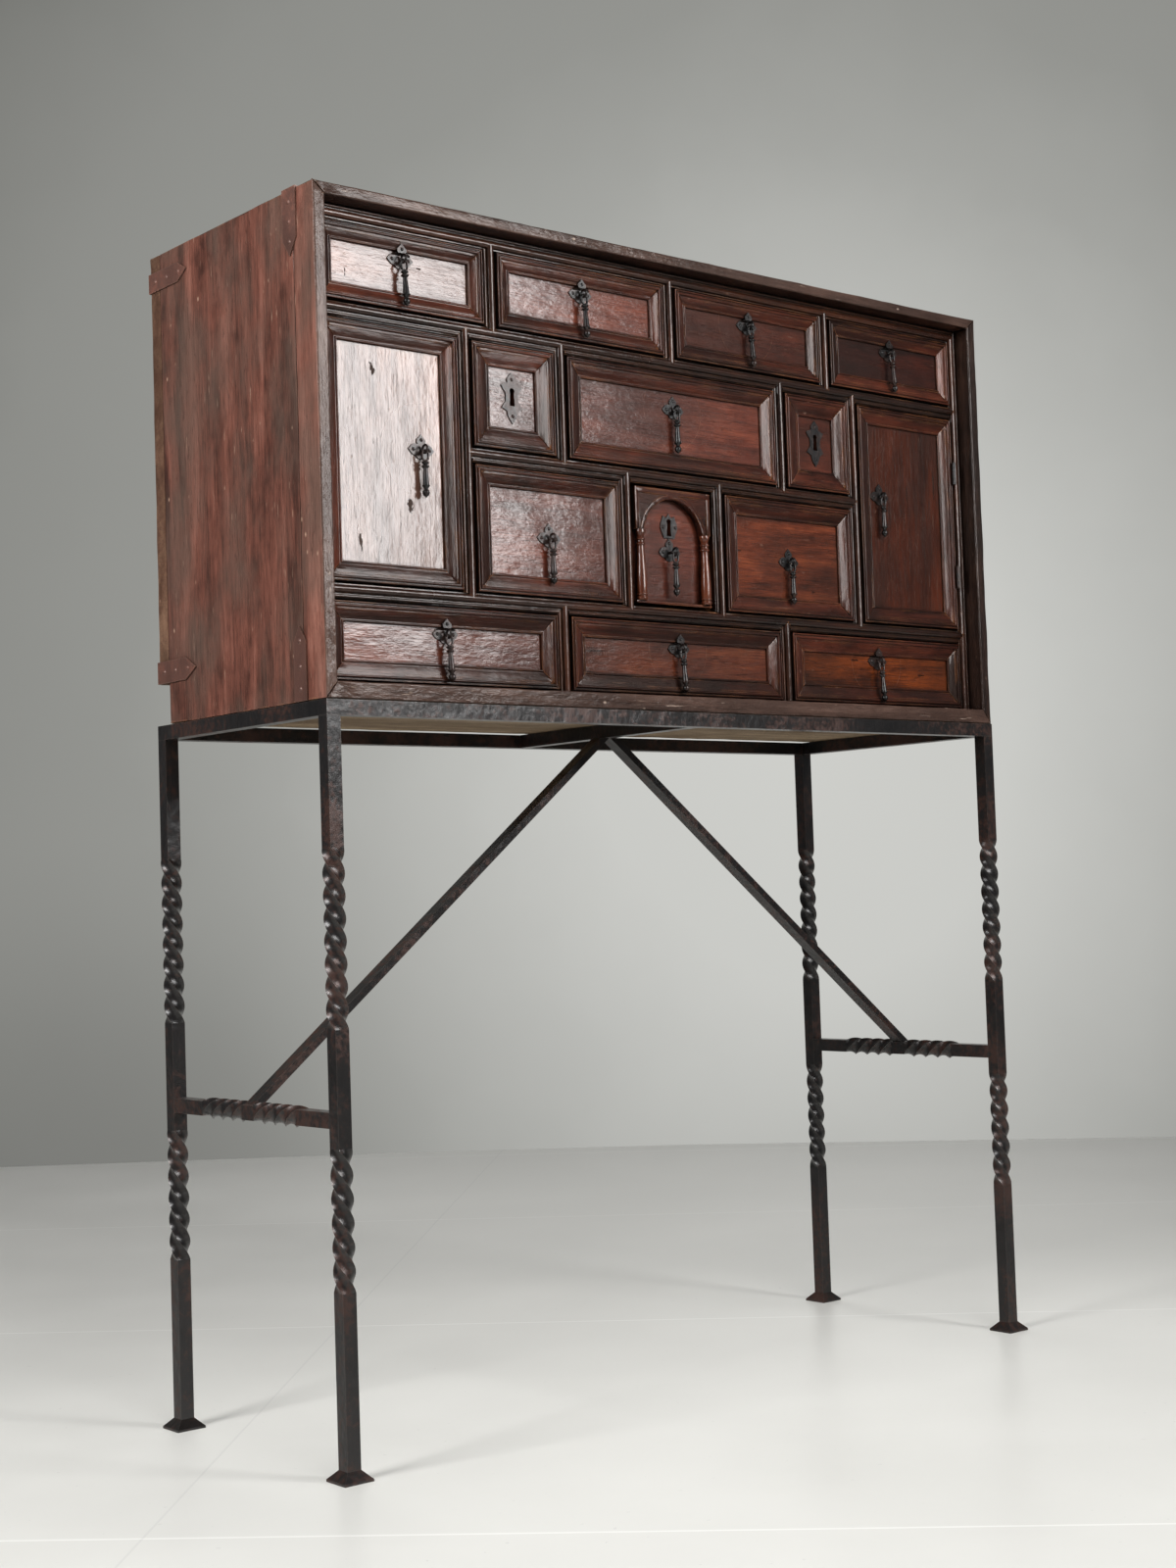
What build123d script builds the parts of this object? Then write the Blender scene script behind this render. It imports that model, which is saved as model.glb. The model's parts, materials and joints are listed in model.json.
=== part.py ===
from build123d import *
from collections import namedtuple
import os

# A papelera (a vargueno chest of drawers without a drop front) on a wrought-iron stand.
# +Z is up, +Y is the back, the drawers face -Y. The origin is on the floor, below the
# middle of the four feet. All sizes are millimetres. Distances "along the front" are
# measured from the case's left face, heights "above the base" from the case's underside.

os.makedirs("parts", exist_ok=True)

# ---------------------------------------------------------------- driving dimensions
CASE_WIDTH = 1077
CASE_HEIGHT = 560
CARCASS_DEPTH = 336          # side, top and bottom boards, front edge to back edge
BACK_THICKNESS = 22
BACK_RAISED = 8              # the back board ends this far above the base
LOST_CORNER = (26, 48)       # width and height of the back board's missing corner
SIDE_THICKNESS = 16
TOP_THICKNESS = 14
BOTTOM_THICKNESS = 20
SIDE_FRONT_STRIP = 42        # the sides are glued up with a narrow strip at the front
WORN_EDGE = 2.5              # rounding of the case's long edges

STAND_HEIGHT = 820
STAND_DEPTH = 365
BAR = 17                     # square wrought bar of the stand
FOOT_SIZE = 36
FOOT_PLATE = 2.5
FOOT_FLARE_TOP = 12
QUARTER_TURN = 90
UPPER_TWIST = (470, 662)     # heights between which each leg is twisted
UPPER_TWIST_QUARTERS = 8
LOWER_TWIST = (195, 345)
LOWER_TWIST_QUARTERS = 6
STRETCHER_BOTTOM = 366
STRETCHER_TWIST = 88         # length of each twisted half of a side stretcher
STRETCHER_TWIST_QUARTERS = 4
STRETCHER_SEAT = 24          # plain middle of a side stretcher, below the brace's foot
BRACE_WIDTH = 18
BRACE_THICKNESS = 9
BRACE_TOP_SPACE = 0.8        # from the middle of the crossbar to each brace's upper end
BRACE_FOOT_INSET = 1.4       # the brace's foot ends this far inside the stretcher's outer face

RECESS = 20                  # the fronts lie this far behind the case's front edges
MOULDING_HEIGHT = 7          # crown of the applied mouldings above the field
TOP_ROW_MOULDING = 20
MOULDING = 23
SMALL_DRAWER_MOULDING = 26
OUTER_BEAD_END = 2.4           # the moulding's beads, inwards from its outer edge
OUTER_BEAD_SET_DOWN = 0.4      # crown of the outer bead below the crown of the middle one
OUTER_BEAD_RISE = 1.2
MIDDLE_BEAD = (3, 6.8)
MIDDLE_BEAD_RISE = 1.4
MOULDING_GROOVE = 2            # below the crown
QUIRK_SET_DOWN = 2.4           # flat between the middle bead and the slope
SLOPE_START = 9.4
SLOPE_SET_DOWN = 3
SLOPE_MIDDLE_DROP = 0.8        # the slope is a little rounded
INNER_BEAD_LOW = 1.8           # above the field
INNER_BEAD_RISE = 1.2
INNER_BEAD_WIDTH = 3
INNER_QUIRK = 0.6
FRONT_THICKNESS = 12
DOOR_THICKNESS = 11
FRONT_GAP = 2                # around each drawer front and door
LOWEST_GAP = 3               # under the fronts of the bottom row

STRIP_WIDTH = 17             # beaded strips on the front edges of shelves and partitions
STRIP_DEPTH = 14
SMALL_BEAD_AT = 2.8
SMALL_BEAD_RADIUS = 2.2
BEAD_AT = 10.8
BEAD_RADIUS = 4.7
SHELF_THICKNESS = 12
PARTITION_THICKNESS = 14
GUIDE_HEIGHT = 14

RAILS = {"upper": 421.5, "middle": 279, "lower": 112}   # undersides above the base
ROW_1_PARTITIONS = (252.5, 528.5, 800)                  # centres along the front
TALL_PARTITIONS = (212.5, 847)
ROW_2_PARTITIONS = (352.5, 713.5)
ROW_3_PARTITIONS = (449, 600)
ROW_4_PARTITIONS = (346.5, 711)

DRAWER_LENGTH = 315.5        # crown of the mouldings to the back of the box
DRAWER_SIDE = 8
DRAWER_BOTTOM = 5
DRAWER_SIDE_DROP = 8         # the drawer sides are this much lower than the front
DRAWER_PLAY = 0.5            # between a drawer and the shelf below it

DOOR_EDGE_GAP = 3            # between a door's hinged edge and the wall beside it
HINGE_AXIS_OFF_WALL = 2.9
HINGE_AXIS_BEHIND = 17       # hinge axis behind the case's front edges
HINGE_HEIGHTS = (202, 345)   # hinge centres above the base
HINGE_LENGTH = 30
KNUCKLE_RADIUS = 2.6
KNUCKLE_LENGTH = 10
KNUCKLE_PLAY = 0.1           # at each end of the middle knuckle
HINGE_PIN_RADIUS = 1.2
HINGE_BORE_RADIUS = 1.26
HINGE_PLATE = 1.2
HINGE_PLATE_START = 3        # the plates run from here to here behind the axis
HINGE_PLATE_END = 16
DOOR_STOP = (9, 6, 40)       # width, depth and height of the block that stops a door
DOOR_STOP_SPACE = 0.4

PULL_AXIS_BEHIND = 19        # the drops hang here, behind the case's front edges
PULL_LEAN = 4.5              # degrees that a drop stands off where its end lies over a moulding
PULL_SAG = 1.5               # the eye hangs this far below the centre of the staple's loop
LOOP_RADIUS = 4.5
LOOP_WIRE = 1.4
EYE_WIRE = 1.3
EYE_HALF_WIDTH = 3.9
EYE_LENGTH = 12
SHANK_RADIUS = 1.9
SHANK_HOLE_RADIUS = 2.1
TAIL_LENGTH = 16
TAIL_WIDTH = 4
TAIL_THICKNESS = 1.2
PLATE_THICKNESS = 1.2
PLATE_RISE = 4               # how far a top lobe is bent up to lie over the moulding
PLATE_RISE_FROM = 4.4        # heights on the backplate between which it is bent
PLATE_RISE_TO = 6.8
NAIL_RADIUS = 2.2
NAIL_DOME = 1.3
PLATE_NAILS = ((-11, 0), (11, 0), (0, 11.2))
ROW_1_PULL = 498             # backplate centres above the base
ROW_2_PULL = 375
ROW_3_PULL = 200.5
ROW_4_PULL = 80
LEFT_DOOR_PULL = (151.5, 286)   # along the front, above the base
RIGHT_DOOR_PULL = (898.5, 301)

SMALL_DRAWER_KEYHOLE = 360   # escutcheon centre above the base
ARCH_KEYHOLE = 228
LOCK_WIDTH = 46
LOCK_THICKNESS = 9
LOCK_BELOW_KEYHOLE = 16
KEYHOLE_HEAD_RADIUS = 3.6
KEYHOLE_HEAD_UP = 8.5
KEYHOLE_SLOT_DOWN = 9
KEYHOLE_SLOT_TOP = 2.7       # half widths of the slot
KEYHOLE_SLOT_BOTTOM = 3.7

ARCH_DRAWER = 522.5          # middle of the arched front, along the front
ARCH_FRONT_WIDTH = 122
ARCH_FRONT_GAP = 4           # above and below the arched front
ARCH_RADIUS = 48.5
ARCH_CENTRE_ABOVE = 81       # above the bottom of the arched front
SPRINGING_ABOVE = 89         # underside of the spandrels
SPANDREL_FRONT = 1.6         # the spandrels' face behind the crown of the mouldings
NICHE_DEPTH = 9              # from the spandrels' face to the panel below the arch
ARCH_BAND = 5.5
ARCH_BAND_HEIGHT = 1.2
ARCH_TOP_BAND = (134, 140)   # raised band under the top edge of the arched front
COLUMN_INSET = 8.5
COLUMN_BEHIND = 3.4          # the colonettes' axes behind the crown of the mouldings
PLINTH_HEIGHT = 3.5
PLINTH_DEPTH = 8

STRAP_THICKNESS = 1.5
STRAP_WRAP = 30              # how far a strap runs on over the top or the back
STRAP_NAIL_RADIUS = 3
STRAP_NAIL_DOME = 1.3
STRAP_ABOVE_BASE = 1
# A strap's two long edges, and its shoulders, tip and nails from the edge of the case that it
# crosses. The edges are taken behind the case's front at the front, above the base at the back.
Strap = namedtuple("Strap", "low high shoulders tip nails")
FRONT_TOP_STRAP = Strap(34, 60, 55, 74, (14, 36, 58))
FRONT_BOTTOM_STRAP = Strap(36, 60, 66, 83, (14, 38, 66))
BACK_TOP_STRAP = Strap(517, 540, 66, 86, (14, 40, 68))
BACK_BOTTOM_STRAP = Strap(49, 75, 64, 87, (14, 40, 68))

# ---------------------------------------------------------------- derived places
BASE = STAND_HEIGHT
CASE_TOP = BASE + CASE_HEIGHT
HALF = CASE_WIDTH / 2
FRONT = -STAND_DEPTH / 2     # Y of the case's front edges and of the stand's front face
CROWN_Y = FRONT + RECESS
FIELD_Y = CROWN_Y + MOULDING_HEIGHT
STRIP_BACK = CROWN_Y + STRIP_DEPTH
CARCASS_BACK = FRONT + CARCASS_DEPTH
CASE_BACK = CARCASS_BACK + BACK_THICKNESS
INNER_LEFT = SIDE_THICKNESS - HALF
INNER_RIGHT = HALF - SIDE_THICKNESS
INNER_TOP = CASE_TOP - TOP_THICKNESS
INNER_BOTTOM = BASE + BOTTOM_THICKNESS
CORNICE_BOTTOM = INNER_TOP - STRIP_WIDTH
STILE_LEFT = INNER_RIGHT - STRIP_WIDTH
RAIL_LOW = {name: BASE + height for name, height in RAILS.items()}
RAIL_TOP = {name: low + STRIP_WIDTH for name, low in RAIL_LOW.items()}
PULL_AXIS_Y = FRONT + PULL_AXIS_BEHIND
HINGE_AXIS_Y = FRONT + HINGE_AXIS_BEHIND


def along(distance):
    """X of a point this far along the front."""
    return distance - HALF


def front_plane(y):
    """A vertical plane facing the viewer, whose sketches have their x along X and y along Z."""
    return Plane.XZ.offset(-y)


def node(name, pieces):
    """Write one node: a single solid, or a group of separate solids."""
    group = pieces[0]
    if len(pieces) > 1:
        group = Compound([solid for piece in pieces for solid in piece.solids()])
    group.label = name
    export_step(group, f"parts/{name}.step")


def board(x0, x1, y0, y1, z0, z1):
    """A plain board between six faces."""
    with BuildPart() as piece:
        with BuildSketch(Plane.XY.offset(z0)):
            with Locations(((x0 + x1) / 2, (y0 + y1) / 2)):
                Rectangle(x1 - x0, y1 - y0)
        extrude(amount=z1 - z0)
    return piece.part


def mirrored(outline):
    """Close an outline given from its top round its right half to its foot."""
    middle = [(x, z) for x, z in outline if x > 0]
    return outline + [(-x, z) for x, z in reversed(middle)]


# ---------------------------------------------------------------- case boards
def case_board(outline, worn_edges):
    """A board of the case from its front view, with some of its long edges worn round."""
    with BuildPart() as piece:
        with BuildSketch(front_plane(CARCASS_BACK)):
            Polygon(*outline, align=None)
        extrude(amount=CARCASS_DEPTH)
        fillet(worn_edges(piece), radius=WORN_EDGE)
    return piece.part


def side_board(side):
    """A side in two glued pieces; side is -1 for the left and 1 for the right."""
    outline = [
        (side * HALF, BASE),
        (side * HALF, CASE_TOP),
        (side * (HALF - SIDE_THICKNESS), INNER_TOP),
        (side * (HALF - SIDE_THICKNESS), INNER_BOTTOM),
    ]
    whole = case_board(outline, lambda piece: piece.edges().filter_by(Axis.Z).group_by(Axis.Y)[0])
    joint = front_plane(FRONT + SIDE_FRONT_STRIP)
    with BuildPart() as strip:
        add(whole)
        split(bisect_by=joint, keep=Keep.TOP)
    with BuildPart() as wide:
        add(whole)
        split(bisect_by=joint, keep=Keep.BOTTOM)
    return [strip.part, wide.part]


def top_board():
    outline = [(-HALF, CASE_TOP), (HALF, CASE_TOP), (INNER_RIGHT, INNER_TOP), (INNER_LEFT, INNER_TOP)]
    return case_board(outline, lambda piece: piece.edges().filter_by(Axis.X).group_by(Axis.Y)[0])


def bottom_board():
    outline = [(-HALF, BASE), (HALF, BASE), (INNER_RIGHT, INNER_BOTTOM), (INNER_LEFT, INNER_BOTTOM)]
    return case_board(outline, lambda piece: piece.edges().filter_by(Axis.X).group_by(Axis.Y)[0])


def back_board():
    """The back, nailed on behind the carcass; its lower edge is short and a corner is lost."""
    lost_width, lost_height = LOST_CORNER
    outline = [
        (-HALF + lost_width, BASE + BACK_RAISED),
        (HALF, BASE + BACK_RAISED),
        (HALF, CASE_TOP),
        (-HALF, CASE_TOP),
        (-HALF, BASE + lost_height),
        (-HALF + lost_width, BASE + lost_height),
    ]
    with BuildPart() as piece:
        with BuildSketch(front_plane(CASE_BACK)):
            Polygon(*outline, align=None)
        extrude(amount=BACK_THICKNESS)
        fillet(piece.edges().filter_by(Axis.X).group_by(Axis.Z)[-1].sort_by(Axis.Y)[-1], radius=WORN_EDGE)
    return piece.part


# ---------------------------------------------------------------- beaded front strips
def strip_section():
    """Section of a strip: across it along x, from its back towards the viewer along y."""
    foot = STRIP_DEPTH - BEAD_RADIUS
    small_start = SMALL_BEAD_AT - SMALL_BEAD_RADIUS
    small_end = SMALL_BEAD_AT + SMALL_BEAD_RADIUS
    bead_start = BEAD_AT - BEAD_RADIUS
    bead_end = BEAD_AT + BEAD_RADIUS
    with BuildSketch() as section:
        with BuildLine():
            Polyline((0, 0), (0, foot), (small_start, foot))
            ThreePointArc((small_start, foot), (SMALL_BEAD_AT, foot + SMALL_BEAD_RADIUS), (small_end, foot))
            Line((small_end, foot), (bead_start, foot))
            ThreePointArc((bead_start, foot), (BEAD_AT, STRIP_DEPTH), (bead_end, foot))
            Polyline((bead_end, foot), (STRIP_WIDTH, foot), (STRIP_WIDTH, 0), (0, 0))
        make_face()
    return section.sketch


def moulded_length(section, plane, length, outline, depth, back_y, notches=()):
    """A section run along a line, cut to a front-view outline and notched for its neighbours."""
    with BuildPart() as piece:
        with BuildSketch(plane):
            add(section)
        extrude(amount=length)
        with BuildSketch(front_plane(back_y)):
            Polygon(*outline, align=None)
        extrude(amount=depth, mode=Mode.INTERSECT)
        for notch in notches:
            with BuildSketch(front_plane(back_y)):
                Polygon(*notch, align=None)
            extrude(amount=depth, mode=Mode.SUBTRACT)
    return piece.part


def point(low, edge, apex):
    """Corners (across, along) of a strip's end, from its low side to its high side.

    The end runs to edge, and from there to a right-angled point that reaches apex in the
    middle of the main bead. A square end has its apex at its edge.
    """
    crown = low + BEAD_AT
    reach = abs(apex - edge)
    way = 1 if apex > edge else -1
    left = max(low, crown - reach)
    right = min(low + STRIP_WIDTH, crown + reach)
    corners = [(left, apex - way * (crown - left)), (crown, apex), (right, apex - way * (right - crown))]
    if apex == edge:
        corners = []
    if left > low or apex == edge:
        corners.insert(0, (low, edge))
    if right < low + STRIP_WIDTH or apex == edge:
        corners.append((low + STRIP_WIDTH, edge))
    return corners


def notch(low, edge, apex):
    """Corners (across, along) of the notch that takes another strip's pointed end."""
    crown = low + BEAD_AT
    reach = abs(apex - edge)
    way = 1 if apex > edge else -1
    left = max(low, crown - reach)
    right = min(low + STRIP_WIDTH, crown + reach)
    return [
        (left, edge - way),
        (left, apex - way * (crown - left)),
        (crown, apex),
        (right, apex - way * (right - crown)),
        (right, edge - way),
    ]


def swapped(corners):
    """Turn (across, along) into (x, z) for a horizontal strip."""
    return [(x, z) for z, x in corners]


def above(rail):
    """Edge and apex of an upright that stands on this rail."""
    return RAIL_TOP[rail], RAIL_LOW[rail] + BEAD_AT


def below(rail):
    """Edge and apex of an upright that hangs from this rail."""
    return RAIL_LOW[rail], RAIL_LOW[rail] + BEAD_AT


def uprights(centres, bottom, top):
    """Places of a row of upright strips: low side, bottom end and top end."""
    return [(along(centre) - STRIP_WIDTH / 2, bottom, top) for centre in centres]


def upright_strip(place, notches=()):
    low, bottom_end, top_end = place
    corners = point(low, *bottom_end) + point(low, *top_end)[::-1]
    top = max(z for _, z in corners)
    bottom = min(z for _, z in corners)
    plane = Plane(origin=(low, STRIP_BACK, top), x_dir=(1, 0, 0), z_dir=(0, 0, -1))
    return moulded_length(STRIP_SECTION, plane, top - bottom, corners, STRIP_DEPTH, STRIP_BACK, notches)


def level_strip(low, left_end, right_end, notches):
    outline = swapped(point(low, *left_end) + point(low, *right_end)[::-1])
    start = min(x for x, _ in outline)
    end = max(x for x, _ in outline)
    plane = Plane(origin=(start, STRIP_BACK, low), x_dir=(0, 0, 1), z_dir=(1, 0, 0))
    return moulded_length(STRIP_SECTION, plane, end - start, outline, STRIP_DEPTH, STRIP_BACK, notches)


STRIP_SECTION = strip_section()
UNDER_CORNICE = (CORNICE_BOTTOM, INNER_TOP - BEAD_AT)
ON_BOTTOM = (INNER_BOTTOM, INNER_BOTTOM)
INTO_STILE = (STILE_LEFT, INNER_RIGHT - BEAD_AT)
AGAINST_SIDE = (INNER_LEFT, INNER_LEFT)
ROW_1_UPRIGHTS = uprights(ROW_1_PARTITIONS, above("upper"), UNDER_CORNICE)
TALL_UPRIGHTS = uprights(TALL_PARTITIONS, above("lower"), below("upper"))
ROW_2_UPRIGHTS = uprights(ROW_2_PARTITIONS, above("middle"), below("upper"))
ROW_3_UPRIGHTS = uprights(ROW_3_PARTITIONS, above("lower"), below("middle"))
ROW_4_UPRIGHTS = uprights(ROW_4_PARTITIONS, ON_BOTTOM, below("lower"))


def bottom_notches(places):
    return [notch(low, *bottom) for low, bottom, _ in places]


def top_notches(places):
    return [notch(low, *top) for low, _, top in places]


def front_strips():
    """The rails and uprights, with each pointed end let into its neighbour."""
    left_low, right_low = (low for low, _, _ in TALL_UPRIGHTS)
    left_end = (left_low + STRIP_WIDTH, left_low + BEAD_AT)
    right_end = (right_low, right_low + BEAD_AT)
    upper_notches = bottom_notches(ROW_1_UPRIGHTS) + top_notches(TALL_UPRIGHTS + ROW_2_UPRIGHTS)
    middle_notches = bottom_notches(ROW_2_UPRIGHTS) + top_notches(ROW_3_UPRIGHTS)
    lower_notches = bottom_notches(TALL_UPRIGHTS + ROW_3_UPRIGHTS) + top_notches(ROW_4_UPRIGHTS)
    strips = [
        level_strip(RAIL_LOW["upper"], AGAINST_SIDE, INTO_STILE, upper_notches),
        level_strip(RAIL_LOW["middle"], left_end, right_end, middle_notches),
        level_strip(RAIL_LOW["lower"], AGAINST_SIDE, INTO_STILE, lower_notches),
    ]
    for place, rail_end in zip(TALL_UPRIGHTS, (left_end, right_end)):
        strips.append(upright_strip(place, [swapped(notch(RAIL_LOW["middle"], *rail_end))]))
    for place in ROW_1_UPRIGHTS + ROW_2_UPRIGHTS + ROW_3_UPRIGHTS + ROW_4_UPRIGHTS:
        strips.append(upright_strip(place))
    return strips


def cornice_and_stile():
    """The cornice strip and the right-hand stile, mitred together at the corner."""
    cornice_outline = [
        (INNER_LEFT, INNER_TOP),
        (INNER_LEFT, CORNICE_BOTTOM),
        (STILE_LEFT, CORNICE_BOTTOM),
        (INNER_RIGHT, INNER_TOP),
    ]
    stile_outline = [
        (STILE_LEFT, INNER_BOTTOM),
        (STILE_LEFT, CORNICE_BOTTOM),
        (INNER_RIGHT, INNER_TOP),
        (INNER_RIGHT, INNER_BOTTOM),
    ]
    cornice_plane = Plane(origin=(INNER_RIGHT, STRIP_BACK, INNER_TOP), x_dir=(0, 0, -1), z_dir=(-1, 0, 0))
    stile_plane = Plane(origin=(INNER_RIGHT, STRIP_BACK, INNER_BOTTOM), x_dir=(-1, 0, 0), z_dir=(0, 0, 1))
    width = INNER_RIGHT - INNER_LEFT
    height = INNER_TOP - INNER_BOTTOM
    rail_notches = [swapped(notch(RAIL_LOW[rail], *INTO_STILE)) for rail in ("upper", "lower")]
    shared = (STRIP_DEPTH, STRIP_BACK)
    cornice_notches = top_notches(ROW_1_UPRIGHTS)
    return [
        moulded_length(STRIP_SECTION, cornice_plane, width, cornice_outline, *shared, cornice_notches),
        moulded_length(STRIP_SECTION, stile_plane, height, stile_outline, *shared, rail_notches),
    ]


# ---------------------------------------------------------------- shelves and partitions
def shelf_bottom(rail):
    return RAIL_TOP[rail] - SHELF_THICKNESS


def shelf_boards():
    half = PARTITION_THICKNESS / 2
    middle_ends = (along(TALL_PARTITIONS[0]) + half, along(TALL_PARTITIONS[1]) - half)
    full_ends = (INNER_LEFT, INNER_RIGHT)
    ends = {"upper": full_ends, "middle": middle_ends, "lower": full_ends}
    return [
        board(*ends[rail], STRIP_BACK, CARCASS_BACK, shelf_bottom(rail), RAIL_TOP[rail]) for rail in RAILS
    ]


def partition_boards():
    spans = [(centre, RAIL_TOP["upper"], INNER_TOP) for centre in ROW_1_PARTITIONS]
    spans += [(centre, RAIL_TOP["lower"], shelf_bottom("upper")) for centre in TALL_PARTITIONS]
    spans += [(centre, RAIL_TOP["middle"], shelf_bottom("upper")) for centre in ROW_2_PARTITIONS]
    spans += [(centre, RAIL_TOP["lower"], shelf_bottom("middle")) for centre in ROW_3_PARTITIONS]
    spans += [(centre, INNER_BOTTOM, shelf_bottom("lower")) for centre in ROW_4_PARTITIONS]
    half = PARTITION_THICKNESS / 2
    return [
        board(along(centre) - half, along(centre) + half, STRIP_BACK, CARCASS_BACK, low, high)
        for centre, low, high in spans
    ]


def drawer_guides():
    """Runners behind the stile that guide the right-hand drawers of the top and bottom rows."""
    return [
        board(STILE_LEFT, INNER_RIGHT, STRIP_BACK, CARCASS_BACK, z, z + GUIDE_HEIGHT)
        for z in (RAIL_TOP["upper"], INNER_BOTTOM)
    ]


def door_stops():
    """Blocks glued to the tall partitions, against which the doors close."""
    width, depth, height = DOOR_STOP
    start = FIELD_Y + DOOR_THICKNESS + DOOR_STOP_SPACE
    low = (RAIL_TOP["lower"] + RAIL_LOW["upper"] - height) / 2
    half = PARTITION_THICKNESS / 2
    left = along(TALL_PARTITIONS[0]) - half
    right = along(TALL_PARTITIONS[1]) + half
    return [
        board(left - width, left, start, start + depth, low, low + height),
        board(right, right + width, start, start + depth, low, low + height),
    ]


# ---------------------------------------------------------------- framed fronts
def bead(start, end, rise):
    """A rounded bead between two points at one height of a moulding's section."""
    start_x, height = start
    ThreePointArc(start, ((start_x + end) / 2, height + rise), (end, height))


def moulding_section(width):
    """Section of an applied moulding: inwards from its outer edge along x, height along y.

    It has two beads with a groove between them, a rounded slope that falls towards the
    field, and an inner bead beside the field.
    """
    groove = MOULDING_HEIGHT - MOULDING_GROOVE
    outer_low = MOULDING_HEIGHT - OUTER_BEAD_RISE - OUTER_BEAD_SET_DOWN
    middle_low = MOULDING_HEIGHT - MIDDLE_BEAD_RISE
    quirk = MOULDING_HEIGHT - QUIRK_SET_DOWN
    slope_top = MOULDING_HEIGHT - SLOPE_SET_DOWN
    middle_start, middle_end = MIDDLE_BEAD
    slope_end = width - INNER_BEAD_WIDTH - INNER_QUIRK
    inner_start = width - INNER_BEAD_WIDTH
    slope_middle = ((SLOPE_START + slope_end) / 2, slope_top - SLOPE_MIDDLE_DROP)
    with BuildSketch() as section:
        with BuildLine():
            Line((0, 0), (0, outer_low))
            bead((0, outer_low), OUTER_BEAD_END, OUTER_BEAD_RISE)
            Polyline((OUTER_BEAD_END, outer_low), (OUTER_BEAD_END, groove), (middle_start, groove))
            Line((middle_start, groove), (middle_start, middle_low))
            bead((middle_start, middle_low), middle_end, MIDDLE_BEAD_RISE)
            Polyline((middle_end, middle_low), (middle_end, quirk), (SLOPE_START, quirk))
            Line((SLOPE_START, quirk), (SLOPE_START, slope_top))
            ThreePointArc((SLOPE_START, slope_top), slope_middle, (slope_end, INNER_BEAD_LOW))
            Line((slope_end, INNER_BEAD_LOW), (inner_start, INNER_BEAD_LOW))
            bead((inner_start, INNER_BEAD_LOW), width, INNER_BEAD_RISE)
            Polyline((width, INNER_BEAD_LOW), (width, 0), (0, 0))
        make_face()
    return section.sketch


MOULDING_SECTIONS = {
    width: moulding_section(width) for width in (TOP_ROW_MOULDING, MOULDING, SMALL_DRAWER_MOULDING)
}


def moulding_frame(x0, x1, z0, z1, width):
    """Four mitred lengths of moulding round the edge of a front."""
    outer = [(x0, z0), (x1, z0), (x1, z1), (x0, z1)]
    inner = [
        (x0 + width, z0 + width),
        (x1 - width, z0 + width),
        (x1 - width, z1 - width),
        (x0 + width, z1 - width),
    ]
    runs = [
        ((0, 0, 1), (1, 0, 0), x1 - x0),
        ((-1, 0, 0), (0, 0, 1), z1 - z0),
        ((0, 0, -1), (-1, 0, 0), x1 - x0),
        ((1, 0, 0), (0, 0, -1), z1 - z0),
    ]
    lengths = []
    for index, (inwards, onwards, length) in enumerate(runs):
        following = (index + 1) % len(runs)
        outline = [outer[index], outer[following], inner[following], inner[index]]
        corner_x, corner_z = outer[index]
        plane = Plane(origin=(corner_x, FIELD_Y, corner_z), x_dir=inwards, z_dir=onwards)
        section = MOULDING_SECTIONS[width]
        lengths.append(moulded_length(section, plane, length, outline, MOULDING_HEIGHT, FIELD_Y))
    return lengths


def keyhole_outline():
    """A round head above a slot that widens downwards."""
    with BuildSketch() as outline:
        Polygon(
            (-KEYHOLE_SLOT_TOP, KEYHOLE_HEAD_UP),
            (KEYHOLE_SLOT_TOP, KEYHOLE_HEAD_UP),
            (KEYHOLE_SLOT_BOTTOM, -KEYHOLE_SLOT_DOWN),
            (-KEYHOLE_SLOT_BOTTOM, -KEYHOLE_SLOT_DOWN),
            align=None,
        )
        with Locations((0, KEYHOLE_HEAD_UP)):
            Circle(KEYHOLE_HEAD_RADIUS)
    return outline.sketch


KEYHOLE = keyhole_outline()

# A front: its outer edges, moulding width, staple and keyhole places, and its face's depth.
Front = namedtuple("Front", "name x0 x1 z0 z1 moulding staple keyhole face_y")


def bays(left, partitions, right):
    """Spaces between walls and upright strips, less the gap at each end."""
    half = STRIP_WIDTH / 2
    starts = [left] + [along(centre) + half for centre in partitions]
    ends = [along(centre) - half for centre in partitions] + [right]
    return [(start + FRONT_GAP, end - FRONT_GAP) for start, end in zip(starts, ends)]


def front(name, bay, low, high, moulding, pull_height=None, keyhole_height=None):
    """A framed front in one bay, with its ironwork in the middle of its width."""
    x0, x1 = bay
    middle = (x0 + x1) / 2
    staple = None if pull_height is None else (middle, BASE + pull_height)
    keyhole = None if keyhole_height is None else (middle, BASE + keyhole_height)
    return Front(name, x0, x1, low, high, moulding, staple, keyhole, FIELD_Y)


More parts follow.
